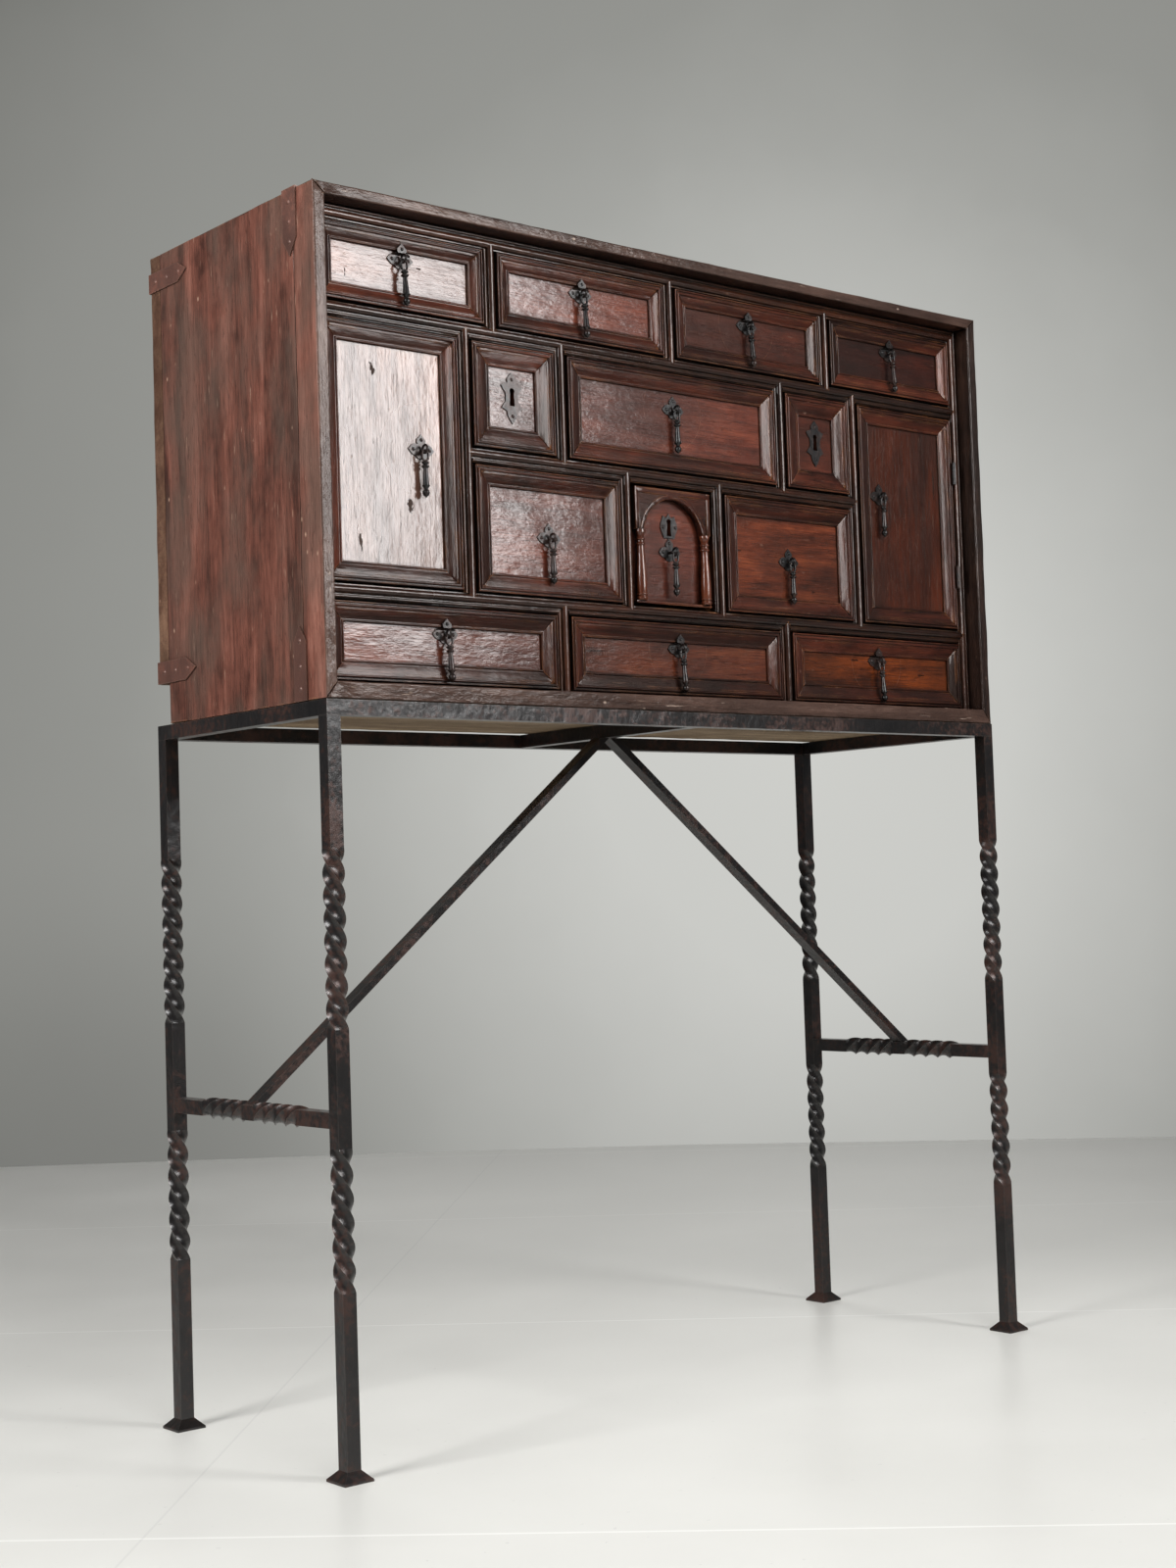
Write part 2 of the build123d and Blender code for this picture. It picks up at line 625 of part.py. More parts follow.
def drawer_fronts():
    """Every framed drawer front, row by row; the arched one is made apart."""
    half = STRIP_WIDTH / 2
    tall_left = along(TALL_PARTITIONS[0])
    tall_right = along(TALL_PARTITIONS[1])
    row_1 = bays(INNER_LEFT, ROW_1_PARTITIONS, STILE_LEFT)
    row_2 = bays(tall_left + half, ROW_2_PARTITIONS, tall_right - half)
    row_3 = bays(tall_left + half, ROW_3_PARTITIONS, tall_right - half)
    row_4 = bays(INNER_LEFT, ROW_4_PARTITIONS, STILE_LEFT)
    span_1 = (RAIL_TOP["upper"] + FRONT_GAP, CORNICE_BOTTOM - FRONT_GAP)
    span_2 = (RAIL_TOP["middle"] + FRONT_GAP, RAIL_LOW["upper"] - FRONT_GAP)
    span_3 = (RAIL_TOP["lower"] + FRONT_GAP, RAIL_LOW["middle"] - FRONT_GAP)
    span_4 = (INNER_BOTTOM + LOWEST_GAP, RAIL_LOW["lower"] - FRONT_GAP)
    small = SMALL_DRAWER_MOULDING
    fronts = [
        front(f"top_{index}", bay, *span_1, TOP_ROW_MOULDING, ROW_1_PULL)
        for index, bay in enumerate(row_1, 1)
    ]
    fronts.append(front("upper_1", row_2[0], *span_2, small, keyhole_height=SMALL_DRAWER_KEYHOLE))
    fronts.append(front("upper_2", row_2[1], *span_2, MOULDING, ROW_2_PULL))
    fronts.append(front("upper_3", row_2[2], *span_2, small, keyhole_height=SMALL_DRAWER_KEYHOLE))
    fronts.append(front("lower_1", row_3[0], *span_3, MOULDING, ROW_3_PULL))
    fronts.append(front("lower_3", row_3[2], *span_3, MOULDING, ROW_3_PULL))
    fronts += [
        front(f"bottom_{index}", bay, *span_4, MOULDING, ROW_4_PULL)
        for index, bay in enumerate(row_4, 1)
    ]
    return fronts


def door_fronts():
    low = RAIL_TOP["lower"] + FRONT_GAP
    high = RAIL_LOW["upper"] - FRONT_GAP
    half = STRIP_WIDTH / 2
    left_x, left_z = LEFT_DOOR_PULL
    right_x, right_z = RIGHT_DOOR_PULL
    left_bay = (INNER_LEFT + DOOR_EDGE_GAP, along(TALL_PARTITIONS[0]) - half - FRONT_GAP)
    right_bay = (along(TALL_PARTITIONS[1]) + half + FRONT_GAP, STILE_LEFT - DOOR_EDGE_GAP)
    left_staple = (along(left_x), BASE + left_z)
    right_staple = (along(right_x), BASE + right_z)
    return [
        Front("left_door", *left_bay, low, high, MOULDING, left_staple, None, FIELD_Y),
        Front("right_door", *right_bay, low, high, MOULDING, right_staple, None, FIELD_Y),
    ]


def arched_drawer_front():
    x0 = along(ARCH_DRAWER) - ARCH_FRONT_WIDTH / 2
    low = RAIL_TOP["lower"] + ARCH_FRONT_GAP
    high = RAIL_LOW["middle"] - ARCH_FRONT_GAP
    staple = (along(ARCH_DRAWER), BASE + ROW_3_PULL - FRONT_GAP)
    keyhole = (along(ARCH_DRAWER), BASE + ARCH_KEYHOLE)
    panel_y = CROWN_Y + SPANDREL_FRONT + NICHE_DEPTH
    return Front("lower_2", x0, x0 + ARCH_FRONT_WIDTH, low, high, 0, staple, keyhole, panel_y)


def front_panel(place, thickness):
    """The plain board of a front, bored for its staple and cut for its keyhole."""
    back = place.face_y + thickness
    with BuildPart() as piece:
        with BuildSketch(front_plane(back)):
            with Locations(((place.x0 + place.x1) / 2, (place.z0 + place.z1) / 2)):
                Rectangle(place.x1 - place.x0, place.z1 - place.z0)
            if place.staple:
                with Locations(place.staple):
                    Circle(SHANK_HOLE_RADIUS, mode=Mode.SUBTRACT)
            if place.keyhole:
                with Locations(place.keyhole):
                    add(KEYHOLE, mode=Mode.SUBTRACT)
        extrude(amount=thickness)
    return piece.part


def drawer_box(place, shelf):
    """Sides, back and bottom behind a drawer front; the box is open at the top."""
    start = place.face_y + FRONT_THICKNESS
    end = CROWN_Y + DRAWER_LENGTH
    low = shelf + DRAWER_PLAY
    floor = low + DRAWER_BOTTOM
    high = place.z1 - DRAWER_SIDE_DROP
    inner_left = place.x0 + DRAWER_SIDE
    inner_right = place.x1 - DRAWER_SIDE
    return [
        board(place.x0, inner_left, start, end, floor, high),
        board(inner_right, place.x1, start, end, floor, high),
        board(inner_left, inner_right, end - DRAWER_SIDE, end, floor, high),
        board(place.x0, place.x1, start, end, low, floor),
    ]


def shelf_under(place):
    """Height of the surface that a drawer runs on."""
    surfaces = [INNER_BOTTOM] + list(RAIL_TOP.values())
    return max(height for height in surfaces if height < place.z0)


def framed_drawer(place):
    panel = front_panel(place, FRONT_THICKNESS)
    frame = moulding_frame(place.x0, place.x1, place.z0, place.z1, place.moulding)
    return [panel] + frame + drawer_box(place, shelf_under(place))


# ---------------------------------------------------------------- arched drawer
def spandrel_plate(place):
    """The upper part of the arched front, cut to the arch, with raised bands."""
    middle = (place.x0 + place.x1) / 2
    centre_z = place.z0 + ARCH_CENTRE_ABOVE
    springing = place.z0 + SPRINGING_ABOVE
    band_low, band_high = ARCH_TOP_BAND
    with BuildPart() as piece:
        with BuildSketch(front_plane(place.face_y)):
            with Locations((middle, (springing + place.z1) / 2)):
                Rectangle(place.x1 - place.x0, place.z1 - springing)
            with Locations((middle, centre_z)):
                Circle(ARCH_RADIUS, mode=Mode.SUBTRACT)
        extrude(amount=NICHE_DEPTH)
        with BuildSketch(front_plane(place.face_y - NICHE_DEPTH)):
            with Locations((middle, centre_z)):
                Circle(ARCH_RADIUS + ARCH_BAND)
                Circle(ARCH_RADIUS, mode=Mode.SUBTRACT)
            with Locations((middle, (springing + place.z1) / 2)):
                Rectangle(place.x1 - place.x0, place.z1 - springing, mode=Mode.INTERSECT)
            with Locations((middle, place.z0 + (band_low + band_high) / 2)):
                Rectangle(place.x1 - place.x0, band_high - band_low)
        extrude(amount=ARCH_BAND_HEIGHT)
    return piece.part


def plinth(place):
    """The step that the colonettes stand on."""
    return board(
        place.x0, place.x1, place.face_y - PLINTH_DEPTH, place.face_y, place.z0, place.z0 + PLINTH_HEIGHT
    )


def colonette(x, low, high):
    """A turned colonette: base rings, a shaft that swells downwards, and a ringed capital."""
    axis_plane = Plane(origin=(x, CROWN_Y + COLUMN_BEHIND, low), x_dir=(1, 0, 0), z_dir=(0, -1, 0))
    height = high - low
    with BuildPart() as piece:
        with BuildSketch(axis_plane):
            with BuildLine():
                Polyline((0, 0), (6.6, 0), (6.6, 1.2))
                ThreePointArc((6.6, 1.2), (7, 2.6), (6.4, 4))
                ThreePointArc((6.4, 4), (5.8, 4.8), (6.4, 5.6))
                ThreePointArc((6.4, 5.6), (7, 6.8), (6.2, 8))
                Spline((6.2, 8), (6.5, 14), (5.6, 42), (4.5, height - 21.5))
                Polyline((4.5, height - 21.5), (4.5, height - 19.6), (5.2, height - 19.2))
                ThreePointArc((5.2, height - 19.2), (5.9, height - 17.8), (5.2, height - 16.4))
                Polyline((5.2, height - 16.4), (4.4, height - 15.6), (4.4, height - 13.4), (5, height - 13))
                ThreePointArc((5, height - 13), (5.7, height - 11.6), (5, height - 10.2))
                Line((5, height - 10.2), (4.4, height - 9.4))
                Spline((4.4, height - 9.4), (4.9, height - 6.4), (6.3, height - 3.6))
                Polyline((6.3, height - 3.6), (6.3, height), (0, height), (0, 0))
            make_face()
        revolve(axis=Axis((x, CROWN_Y + COLUMN_BEHIND, low), (0, 0, 1)))
    return piece.part


def colonettes(place):
    low = place.z0 + PLINTH_HEIGHT
    high = place.z0 + SPRINGING_ABOVE
    return [colonette(x, low, high) for x in (place.x0 + COLUMN_INSET, place.x1 - COLUMN_INSET)]


def arched_drawer(place):
    panel = front_panel(place, FRONT_THICKNESS)
    return [panel, spandrel_plate(place), plinth(place)] + drawer_box(place, shelf_under(place))


# ---------------------------------------------------------------- ironwork of the fronts
def nail_head(surface, radius=NAIL_RADIUS, dome=NAIL_DOME):
    """A domed nail head on a surface, given by the plane at its middle."""
    cap_radius = (radius**2 + dome**2) / (2 * dome)
    with BuildPart() as head:
        with BuildSketch(Plane(origin=surface.origin, x_dir=surface.x_dir, z_dir=-surface.y_dir)):
            with BuildLine():
                Polyline((0, dome), (0, 0), (radius, 0))
                RadiusArc((radius, 0), (0, dome), -cap_radius)
            make_face()
        revolve(axis=Axis(surface.origin, surface.z_dir))
    return head.part


def facing_plane(x, y, z):
    """A plane on a surface that faces the viewer, with its x along X and its y along Z."""
    return Plane(origin=(x, y, z), x_dir=(1, 0, 0), z_dir=(0, -1, 0))


LOBED_OUTLINE = mirrored([
    (0, 17.5),
    (2.4, 14.8),
    (5.8, 11.4),
    (6.1, 8.6),
    (4.6, 6.2),
    (8.4, 6.6),
    (12.4, 5.4),
    (15.2, 2.6),
    (17.5, 0),
    (15.2, -2.8),
    (12, -5.6),
    (8, -6.4),
    (5.4, -9.4),
    (0, -10.6),
])


def backplate(place, raised):
    """A sheet-iron plate of three pointed lobes; a raised one has its top lobe over the moulding."""
    x, z = place.staple
    rise = PLATE_RISE if raised else 0
    flat = PLATE_THICKNESS
    reach = LOBED_OUTLINE[0][1] + 1
    with BuildPart() as plate:
        with BuildSketch(Plane(origin=(x, place.face_y, z), x_dir=(0, -1, 0), z_dir=(-1, 0, 0))):
            Polygon(
                (0, -reach),
                (flat, -reach),
                (flat, PLATE_RISE_FROM),
                (flat + rise, PLATE_RISE_TO),
                (flat + rise, reach),
                (rise, reach),
                (rise, PLATE_RISE_TO),
                (0, PLATE_RISE_FROM),
                align=None,
            )
        extrude(amount=reach, both=True)
        with BuildSketch(facing_plane(x, place.face_y, z)):
            Polygon(*LOBED_OUTLINE, align=None)
            Circle(SHANK_HOLE_RADIUS, mode=Mode.SUBTRACT)
        extrude(amount=flat + PLATE_RISE, mode=Mode.INTERSECT)
    pieces = [plate.part]
    for nail_x, nail_z in PLATE_NAILS:
        lift = rise if nail_z > PLATE_RISE_TO else 0
        pieces.append(nail_head(facing_plane(x + nail_x, place.face_y - flat - lift, z + nail_z)))
    return pieces


def staple(place, thickness):
    """A split staple: a loop for the drop, a shank through the front, tails clenched behind."""
    x, z = place.staple
    back = place.face_y + thickness
    loop_plane = Plane(origin=(x, PULL_AXIS_Y + LOOP_RADIUS, z), x_dir=(1, 0, 0), z_dir=(0, 0, 1))
    shank_plane = Plane(origin=(x, PULL_AXIS_Y + LOOP_RADIUS, z), x_dir=(1, 0, 0), z_dir=(0, 1, 0))
    tail_plane = Plane(origin=(x, back, z), x_dir=(1, 0, 0), z_dir=(0, 1, 0))
    with BuildPart() as piece:
        with BuildSketch(loop_plane):
            Circle(LOOP_WIRE)
        revolve(axis=Axis((x, PULL_AXIS_Y, z), (1, 0, 0)))
        with BuildSketch(shank_plane):
            Circle(SHANK_RADIUS)
        extrude(amount=back - PULL_AXIS_Y - LOOP_RADIUS)
        with BuildSketch(tail_plane):
            Rectangle(TAIL_WIDTH, TAIL_LENGTH)
        extrude(amount=TAIL_THICKNESS)
    return piece.part


def pull_drop(place, lean=0):
    """A forged drop: a long eye, two collars, a baluster, a ring, a ball and a point."""
    x, z = place.staple
    upper_centre = -EYE_HALF_WIDTH
    lower_centre = EYE_HALF_WIDTH - EYE_LENGTH
    plane = facing_plane(x, PULL_AXIS_Y, z - PULL_SAG).rotated((-lean, 0, 0))
    wire_start = plane.from_local_coords((EYE_HALF_WIDTH, upper_centre, 0))
    wire_plane = Plane(origin=wire_start, x_dir=(1, 0, 0), z_dir=-plane.y_dir)
    with BuildPart() as drop:
        with BuildLine(plane) as eye:
            Line((EYE_HALF_WIDTH, upper_centre), (EYE_HALF_WIDTH, lower_centre))
            ThreePointArc((EYE_HALF_WIDTH, lower_centre), (0, -EYE_LENGTH), (-EYE_HALF_WIDTH, lower_centre))
            Line((-EYE_HALF_WIDTH, lower_centre), (-EYE_HALF_WIDTH, upper_centre))
            ThreePointArc((-EYE_HALF_WIDTH, upper_centre), (0, 0), (EYE_HALF_WIDTH, upper_centre))
        with BuildSketch(wire_plane):
            Circle(EYE_WIRE)
        sweep(path=eye.wires()[0])
        with BuildSketch(plane):
            with BuildLine():
                Polyline((0, -12.2), (2.6, -12.2), (3, -12.8))
                ThreePointArc((3, -12.8), (4.2, -14), (3, -15.2))
                Polyline((3, -15.2), (2.5, -16.2), (3, -17))
                ThreePointArc((3, -17), (4.3, -18.2), (3, -19.4))
                Line((3, -19.4), (2.5, -20.6))
                Spline((2.5, -20.6), (3.2, -32), (3.6, -38.8))
                ThreePointArc((3.6, -38.8), (4.4, -40), (3.6, -41.2))
                Line((3.6, -41.2), (2, -43.8))
                ThreePointArc((2, -43.8), (3.9, -48.4), (1, -52.4))
                Polyline((1, -52.4), (0, -54.4), (0, -12.2))
            make_face()
        revolve(axis=Axis(plane.origin, plane.y_dir))
    return drop.part


SMALL_ESCUTCHEON = mirrored([
    (0, 30),
    (2.6, 27.4),
    (6, 24),
    (7, 21.4),
    (6, 18.4),
    (9.4, 17),
    (15.5, 14.6),
    (13, 10),
    (9.4, 6.4),
    (8.9, 1),
    (9.4, -4.2),
    (12.4, -7.6),
    (15.2, -11.6),
    (11.2, -13.4),
    (7.4, -16),
    (6.6, -20.6),
    (4.4, -24.4),
    (0, -30),
])
ARCH_ESCUTCHEON = mirrored([
    (0, 18.5),
    (2, 15.4),
    (4.4, 12.8),
    (6.8, 14),
    (9.2, 15.8),
    (10.6, 11.6),
    (13, 7),
    (14, 1.2),
    (11.8, -4.2),
    (9.4, -9),
    (8.8, -11.6),
    (0, -11.6),
])
SMALL_ESCUTCHEON_NAILS = ((0, 21.8), (0, -21))
ARCH_ESCUTCHEON_NAILS = ((-10.2, 1.8), (10.2, 1.8))


def lock(place, outline, nails):
    """An escutcheon on its nails, and the lock's iron case behind the front."""
    x, z = place.keyhole
    back = place.face_y + FRONT_THICKNESS
    case_low = z - LOCK_BELOW_KEYHOLE
    case_high = place.z1 - DRAWER_SIDE_DROP
    with BuildPart() as escutcheon:
        with BuildSketch(facing_plane(x, place.face_y, z)):
            Polygon(*outline, align=None)
            add(KEYHOLE, mode=Mode.SUBTRACT)
        extrude(amount=PLATE_THICKNESS)
    with BuildPart() as case:
        with BuildSketch(front_plane(back + LOCK_THICKNESS)):
            with Locations((x, (case_low + case_high) / 2)):
                Rectangle(LOCK_WIDTH, case_high - case_low)
        extrude(amount=LOCK_THICKNESS)
        with BuildSketch(front_plane(back + LOCK_THICKNESS)):
            with Locations(place.keyhole):
                add(KEYHOLE)
        extrude(amount=LOCK_THICKNESS, mode=Mode.SUBTRACT)
    nail_y = place.face_y - PLATE_THICKNESS
    heads = [nail_head(facing_plane(x + nail_x, nail_y, z + nail_z)) for nail_x, nail_z in nails]
    return [escutcheon.part, case.part] + heads


# ---------------------------------------------------------------- door hinges
def hinge_plate(wall_x, inwards, centre_z, plate, levels):
    """One plate of a hinge with its knuckles; plate gives its two faces' distances off the wall."""
    near, far = (wall_x + inwards * distance for distance in plate)
    middle = (near + far) / 2
    axis_x = wall_x + inwards * HINGE_AXIS_OFF_WALL
    start = HINGE_AXIS_Y + HINGE_PLATE_START
    end = HINGE_AXIS_Y + HINGE_PLATE_END
    with BuildPart() as piece:
        with BuildSketch(Plane.XY.offset(centre_z - HINGE_LENGTH / 2)):
            with Locations((middle, (start + end) / 2)):
                Rectangle(abs(far - near), end - start)
        extrude(amount=HINGE_LENGTH)
        for low, high in levels:
            with BuildSketch(Plane.XY.offset(centre_z + low)):
                with Locations((middle, (HINGE_AXIS_Y + start) / 2)):
                    Rectangle(abs(far - near), HINGE_PLATE_START)
                with Locations((axis_x, HINGE_AXIS_Y)):
                    Circle(KNUCKLE_RADIUS)
                    Circle(HINGE_BORE_RADIUS, mode=Mode.SUBTRACT)
            extrude(amount=high - low)
    return piece.part


def hinge_pin(wall_x, inwards, centre_z):
    with BuildPart() as pin:
        with BuildSketch(Plane.XY.offset(centre_z - HINGE_LENGTH / 2)):
            with Locations((wall_x + inwards * HINGE_AXIS_OFF_WALL, HINGE_AXIS_Y)):
                Circle(HINGE_PIN_RADIUS)
        extrude(amount=HINGE_LENGTH)
    return pin.part


FIXED_PLATE = (0, HINGE_PLATE)
MOVING_PLATE = (DOOR_EDGE_GAP - HINGE_PLATE, DOOR_EDGE_GAP)
FIXED_LEVELS = ((-HINGE_LENGTH / 2, -KNUCKLE_LENGTH / 2), (KNUCKLE_LENGTH / 2, HINGE_LENGTH / 2))
MOVING_LEVELS = ((KNUCKLE_PLAY - KNUCKLE_LENGTH / 2, KNUCKLE_LENGTH / 2 - KNUCKLE_PLAY),)
HINGE_WALLS = {"left_door": (INNER_LEFT, 1), "right_door": (STILE_LEFT, -1)}


def fixed_hinge_parts():
    pieces = []
    for wall_x, inwards in HINGE_WALLS.values():
        for height in HINGE_HEIGHTS:
            pieces.append(hinge_plate(wall_x, inwards, BASE + height, FIXED_PLATE, FIXED_LEVELS))
            pieces.append(hinge_pin(wall_x, inwards, BASE + height))
    return pieces


def moving_hinge_plates(door_name):
    wall_x, inwards = HINGE_WALLS[door_name]
    return [
        hinge_plate(wall_x, inwards, BASE + height, MOVING_PLATE, MOVING_LEVELS) for height in HINGE_HEIGHTS
    ]


# ---------------------------------------------------------------- corner straps
def side_strap(side, outline, nails, wrap_plane=None, wrap_width=0):
    """A strap on a side of the case that turns over an edge and runs on along the next face.

    The outline is the strap's (y, z) shape on the side, the wrap plane lies on the next
    face where the strap crosses the edge, with its x along the strap, away from the side.
    """
    face = Plane(origin=(side * HALF, 0, 0), x_dir=(0, 1, 0), z_dir=(1, 0, 0))
    reach = STRAP_WRAP + STRAP_THICKNESS
    with BuildPart() as strap:
        with BuildSketch(face):
            Polygon(*outline, align=None)
        extrude(amount=side * STRAP_THICKNESS)
        if wrap_plane:
            half = wrap_width / 2
            with BuildSketch(wrap_plane):
                Polygon(
                    (-STRAP_THICKNESS, -half),
                    (reach - half, -half),
                    (reach, 0),
                    (reach - half, half),
                    (-STRAP_THICKNESS, half),
                    align=None,
                )
            extrude(amount=STRAP_THICKNESS)
    heads = [strap_nail(side, y, z) for y, z in nails]
    return [strap.part] + heads


def strap_nail(side, y, z):
    """A nail head on a strap, on the side of the case."""
    surface = Plane(origin=(side * (HALF + STRAP_THICKNESS), y, z), x_dir=(0, side, 0), z_dir=(side, 0, 0))
    return nail_head(surface, STRAP_NAIL_RADIUS, STRAP_NAIL_DOME)


def strap_corners(strap, edge, outwards, overhang):
    """Corners (along, across) of a pointed strap that ends this far past an edge of the case."""
    end = edge + outwards * overhang
    shoulder = edge - outwards * strap.shoulders
    tip = edge - outwards * strap.tip
    middle = (strap.low + strap.high) / 2
    long_edges = [(end, strap.low), (end, strap.high), (shoulder, strap.high)]
    return long_edges + [(tip, middle), (shoulder, strap.low)]


def upright_strap(side, strap, edge, outwards, overhang, wrap_width=0):
    """A strap behind a front edge of the case; with a wrap width it turns over the top."""
    corners = strap_corners(strap, edge, outwards, overhang)
    middle_y = FRONT + (strap.low + strap.high) / 2
    over_edge = None
    if wrap_width:
        over_edge = Plane(origin=(side * HALF, middle_y, edge), x_dir=(-side, 0, 0), z_dir=(0, 0, 1))
    outline = [(FRONT + across, z) for z, across in corners]
    nails = [(middle_y, edge - outwards * nail) for nail in strap.nails]
    return side_strap(side, outline, nails, over_edge, wrap_width)


def level_strap(side, strap):
    """A strap at the back of the side that turns behind the back board."""
    corners = strap_corners(strap, CASE_BACK, 1, STRAP_THICKNESS)
    middle_z = BASE + (strap.low + strap.high) / 2
    behind = Plane(origin=(side * HALF, CASE_BACK, middle_z), x_dir=(-side, 0, 0), z_dir=(0, 1, 0))
    outline = [(y, BASE + across) for y, across in corners]
    nails = [(CASE_BACK - nail, middle_z) for nail in strap.nails]
    return side_strap(side, outline, nails, behind, strap.high - strap.low)


def corner_straps(side):
    """Four straps on one side: two upright ones at the front, two level ones at the back."""
    top = FRONT_TOP_STRAP
    pieces = upright_strap(side, top, CASE_TOP, 1, STRAP_THICKNESS, top.high - top.low)
    pieces += upright_strap(side, FRONT_BOTTOM_STRAP, BASE, -1, -STRAP_ABOVE_BASE)
    pieces += level_strap(side, BACK_TOP_STRAP)
    pieces += level_strap(side, BACK_BOTTOM_STRAP)
    return pieces


# ---------------------------------------------------------------- iron stand
def twisted_length(plane, length, quarters):
    """A square bar twisted left-handed by whole quarter turns, from a plane along its normal."""
    with BuildSketch(plane) as section:
        Rectangle(BAR, BAR)
    return Solid.extrude_linear_with_rotation(
        section.sketch.face(), plane.origin, plane.z_dir * length, -QUARTER_TURN * quarters
    )


def stand_leg(x, y):
    """A leg with two twisted lengths and a foot drawn out to a square plate."""
    lower_start, lower_end = LOWER_TWIST
    upper_start, upper_end = UPPER_TWIST
    top = STAND_HEIGHT - BAR
    lower = twisted_length(Plane((x, y, lower_start)), lower_end - lower_start, LOWER_TWIST_QUARTERS)
    upper = twisted_length(Plane((x, y, upper_start)), upper_end - upper_start, UPPER_TWIST_QUARTERS)
    plain = [(FOOT_FLARE_TOP, lower_start), (lower_end, upper_start), (upper_end, top)]
    with BuildPart() as leg:
        for start, end in plain:
            with BuildSketch(Plane((x, y, start))):
                Rectangle(BAR, BAR)
            extrude(amount=end - start)
        add(lower)
        add(upper)
        with BuildSketch(Plane((x, y, 0))):
            Rectangle(FOOT_SIZE, FOOT_SIZE)
        extrude(amount=FOOT_PLATE)
        with BuildSketch(Plane((x, y, FOOT_PLATE))):
            Rectangle(FOOT_SIZE, FOOT_SIZE)
        with BuildSketch(Plane((x, y, FOOT_FLARE_TOP))):
            Rectangle(BAR, BAR)
        loft()
    return leg.part


def stand_legs():
    x = HALF - BAR / 2
    y = STAND_DEPTH / 2 - BAR / 2
    return [stand_leg(side_x * x, side_y * y) for side_x in (-1, 1) for side_y in (-1, 1)]


def stand_frame():
    """Front and back bars at full width, with side bars and a crossbar between them."""
    low = STAND_HEIGHT - BAR
    inner = STAND_DEPTH / 2 - BAR
    long_bars = [
        board(-HALF, HALF, FRONT, -inner, low, STAND_HEIGHT),
        board(-HALF, HALF, inner, -FRONT, low, STAND_HEIGHT),
    ]
    short_bars = [
        board(x - BAR / 2, x + BAR / 2, -inner, inner, low, STAND_HEIGHT)
        for x in (BAR / 2 - HALF, 0, HALF - BAR / 2)
    ]
    return long_bars + short_bars


def side_stretcher(side):
    """A stretcher twisted on both sides of the plain seat for the brace."""
    x = side * (HALF - BAR / 2)
    z = STRETCHER_BOTTOM + BAR / 2
    inner = STAND_DEPTH / 2 - BAR
    seat = STRETCHER_SEAT / 2
    outer = seat + STRETCHER_TWIST

    def section_plane(y):
        return Plane(origin=(x, y, z), x_dir=(1, 0, 0), z_dir=(0, 1, 0))

    front_twist = twisted_length(section_plane(-outer), STRETCHER_TWIST, STRETCHER_TWIST_QUARTERS)
    back_twist = twisted_length(section_plane(seat), STRETCHER_TWIST, STRETCHER_TWIST_QUARTERS)
    with BuildPart() as stretcher:
        for start, end in ((-inner, -outer), (-seat, seat), (outer, inner)):
            with BuildSketch(section_plane(start)):
                Rectangle(BAR, BAR)
            extrude(amount=end - start)
        add(front_twist)
        add(back_twist)
    return stretcher.part


def diagonal_brace(side):
    """A flat bar from below the crossbar to the seat on a side stretcher."""
    top = STAND_HEIGHT - BAR
    foot = STRETCHER_BOTTOM + BAR
    foot_outer = HALF - BRACE_FOOT_INSET
    slope_run = foot_outer - BRACE_TOP_SPACE - 2 * BRACE_THICKNESS
    slope_length = (slope_run**2 + (top - foot) ** 2) ** 0.5
    level_cut = BRACE_THICKNESS * slope_length / (top - foot)
    outline = [
        (side * BRACE_TOP_SPACE, top),
        (side * (BRACE_TOP_SPACE + level_cut), top),
        (side * foot_outer, foot),
        (side * (foot_outer - level_cut), foot),
    ]
    with BuildPart() as brace:
        with BuildSketch(front_plane(BRACE_WIDTH / 2)):
            Polygon(*outline, align=None)
        extrude(amount=BRACE_WIDTH)
    return brace.part


# ---------------------------------------------------------------- all nodes
DRAWERS = drawer_fronts()
DOORS = door_fronts()
ARCHED = arched_drawer_front()


def write_case():
    node("case_left_side", side_board(-1))
    node("case_right_side", side_board(1))
    node("case_top", [top_board()])
    node("case_bottom", [bottom_board()])
    node("case_back", [back_board()])
    node("shelves", shelf_boards())
    node("partitions", partition_boards() + drawer_guides() + door_stops())
    node("front_strips", front_strips())
    node("cornice_and_stile", cornice_and_stile())
    node("corner_straps", corner_straps(-1) + corner_straps(1))
    node("door_hinges", fixed_hinge_parts())


def write_drawers():
    for place in DRAWERS:
        node(f"drawer_{place.name}", framed_drawer(place))
        if place.staple:
            low_field = place.name.startswith(("top", "bottom"))
            node(f"backplate_{place.name}", backplate(place, low_field) + [staple(place, FRONT_THICKNESS)])
            node(f"pull_{place.name}", [pull_drop(place, PULL_LEAN if low_field else 0)])
        else:
            node(f"lock_{place.name}", lock(place, SMALL_ESCUTCHEON, SMALL_ESCUTCHEON_NAILS))
    node("drawer_lower_2", arched_drawer(ARCHED))
    node("colonettes_lower_2", colonettes(ARCHED))
    node("lock_lower_2", lock(ARCHED, ARCH_ESCUTCHEON, ARCH_ESCUTCHEON_NAILS))
    node("backplate_lower_2", backplate(ARCHED, False) + [staple(ARCHED, FRONT_THICKNESS)])
    node("pull_lower_2", [pull_drop(ARCHED)])


def write_doors():
    for place in DOORS:
        panel = front_panel(place, DOOR_THICKNESS)
        frame = moulding_frame(place.x0, place.x1, place.z0, place.z1, place.moulding)
        ironwork = backplate(place, False) + [staple(place, DOOR_THICKNESS)]
        node(place.name, [panel] + frame)
        node(f"{place.name}_ironwork", ironwork + moving_hinge_plates(place.name))
        node(f"pull_{place.name}", [pull_drop(place)])


